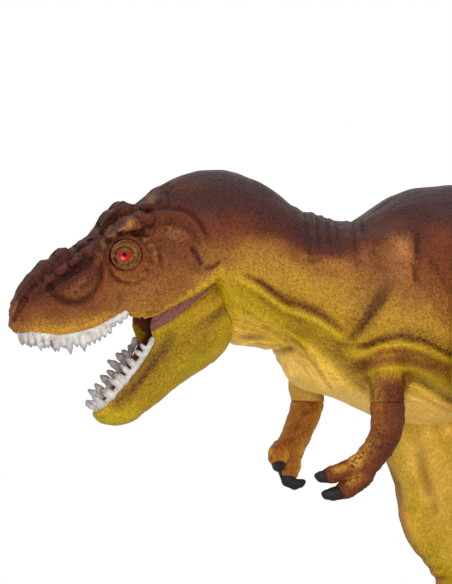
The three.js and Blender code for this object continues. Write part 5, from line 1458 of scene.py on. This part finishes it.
# ---------------------------------------------------------------- pegs and pins
def plain_material(name, first, second, rough, metal, scale):
    n = Paint(name)
    cloud = n.noise(scale, 4, 0.6)
    return n.finish({"Base Color": n.ramp(cloud, [(0.3, first), (0.7, second)]), "Metallic": metal,
                     "Roughness": n.spread(cloud, 0.3, 0.7, rough - 0.08, rough + 0.08),
                     "Normal": n.bump(n.noise(scale * 4, 2, 0.5), 0.0002, 0.4)})


peg_plastic = plain_material("peg_plastic", (0.060, 0.058, 0.055), (0.090, 0.086, 0.082), 0.5, 0.0, 120)
pin_steel = plain_material("pin_steel", (0.500, 0.500, 0.510), (0.620, 0.620, 0.630), 0.3, 1.0, 300)
for name, node in nodes.items():
    for ending, material in (("_peg", peg_plastic), ("_pin", pin_steel)):
        if name.endswith(ending):
            node.data.materials.clear()
            node.data.materials.append(material)

# ---------------------------------------------------------------- camera, light and ground
VIEW_WIDTH, VIEW_HEIGHT = 452, 584
LENS, SENSOR = 1000.0, 36.0
SOFT_STRENGTH, WHITE_STRENGTH = 0.55, 1.0
GROUND_RADIUS, GROUND_SIDES = 1.15, 96
# Lamps: place, target, size, watts
LAMPS = {
    "key_light": ((-0.75, -1.15, 1.35), (-0.1, 0, 0.2), 0.55, 8.2),
    "fill_light": ((0.9, -1.3, 0.4), (0, 0, 0.2), 0.9, 3),
    "low_light": ((-0.50, -1.3, 0.18), (-0.05, 0, 0.20), 0.34, 6.0),
    "top_light": ((0.1, 0.35, 1.6), (0, 0, 0.2), 0.9, 3),
}

scene = bpy.context.scene
scene.view_settings.view_transform = "Standard"


def put(name, data, place, way):
    """Links a camera or lamp that looks along a direction."""
    thing = bpy.data.objects.new(name, data)
    scene.collection.objects.link(thing)
    thing.location = place
    thing.rotation_mode = "QUATERNION"
    thing.rotation_quaternion = way.to_track_quat("-Z", "Y")
    return thing


right = Vector((math.cos(-TURN), math.sin(-TURN), 0))
back = Vector((math.sin(-TURN), -math.cos(-TURN), 0))
view_tall = VIEW_HEIGHT * GRID * 0.001
aside = (VIEW_WIDTH / 2 * GRID - MIDDLE * math.cos(TURN)) * 0.001
level = (GROUND_ROW - VIEW_HEIGHT / 2) * GRID * 0.001
camera = bpy.data.cameras.new("camera")
camera.lens = LENS
camera.sensor_width = SENSOR
camera.clip_start, camera.clip_end = 0.05, 60.0
scene.camera = put("camera", camera, right * aside + Vector((0, 0, level)) + back * (view_tall * LENS / SENSOR), -back)

for name, (place, target, size, watts) in LAMPS.items():
    light = bpy.data.lights.new(name, "AREA")
    light.shape = "DISK"
    light.size = size
    light.energy = watts
    put(name, light, place, Vector(target) - Vector(place))

world = bpy.data.worlds.new("world")
scene.world = world
world.use_nodes = True
w = Nodes(world.node_tree)
soft, white = (w.add("Background", {"Color": (1, 1, 1, 1), "Strength": strength}).outputs[0]
               for strength in (SOFT_STRENGTH, WHITE_STRENGTH))
path = w.add("LightPath").outputs
seen = w.maths("MAXIMUM", path["Is Camera Ray"], path["Is Glossy Ray"])
seen = w.maths("MAXIMUM", seen, path["Is Transmission Ray"])
w.add("OutputWorld", {"Surface": w.add("MixShader", {0: seen, 1: soft, 2: white}).outputs[0]})

# Pale ground: a broad disc under the figure
ground_mesh = bpy.data.meshes.new("ground")
turns = [2 * math.pi * k / GROUND_SIDES for k in range(GROUND_SIDES)]
rim = [(GROUND_RADIUS * math.cos(turn), GROUND_RADIUS * math.sin(turn), 0.0) for turn in turns]
ground_mesh.from_pydata(rim, [], [list(range(GROUND_SIDES))])
ground = bpy.data.objects.new("ground", ground_mesh)
scene.collection.objects.link(ground)
ground_white = {"Base Color": (0.86, 0.86, 0.86, 1), "Roughness": 0.9, "Specular IOR Level": 0.1}
ground_mesh.materials.append(Paint("ground_white").finish(ground_white))
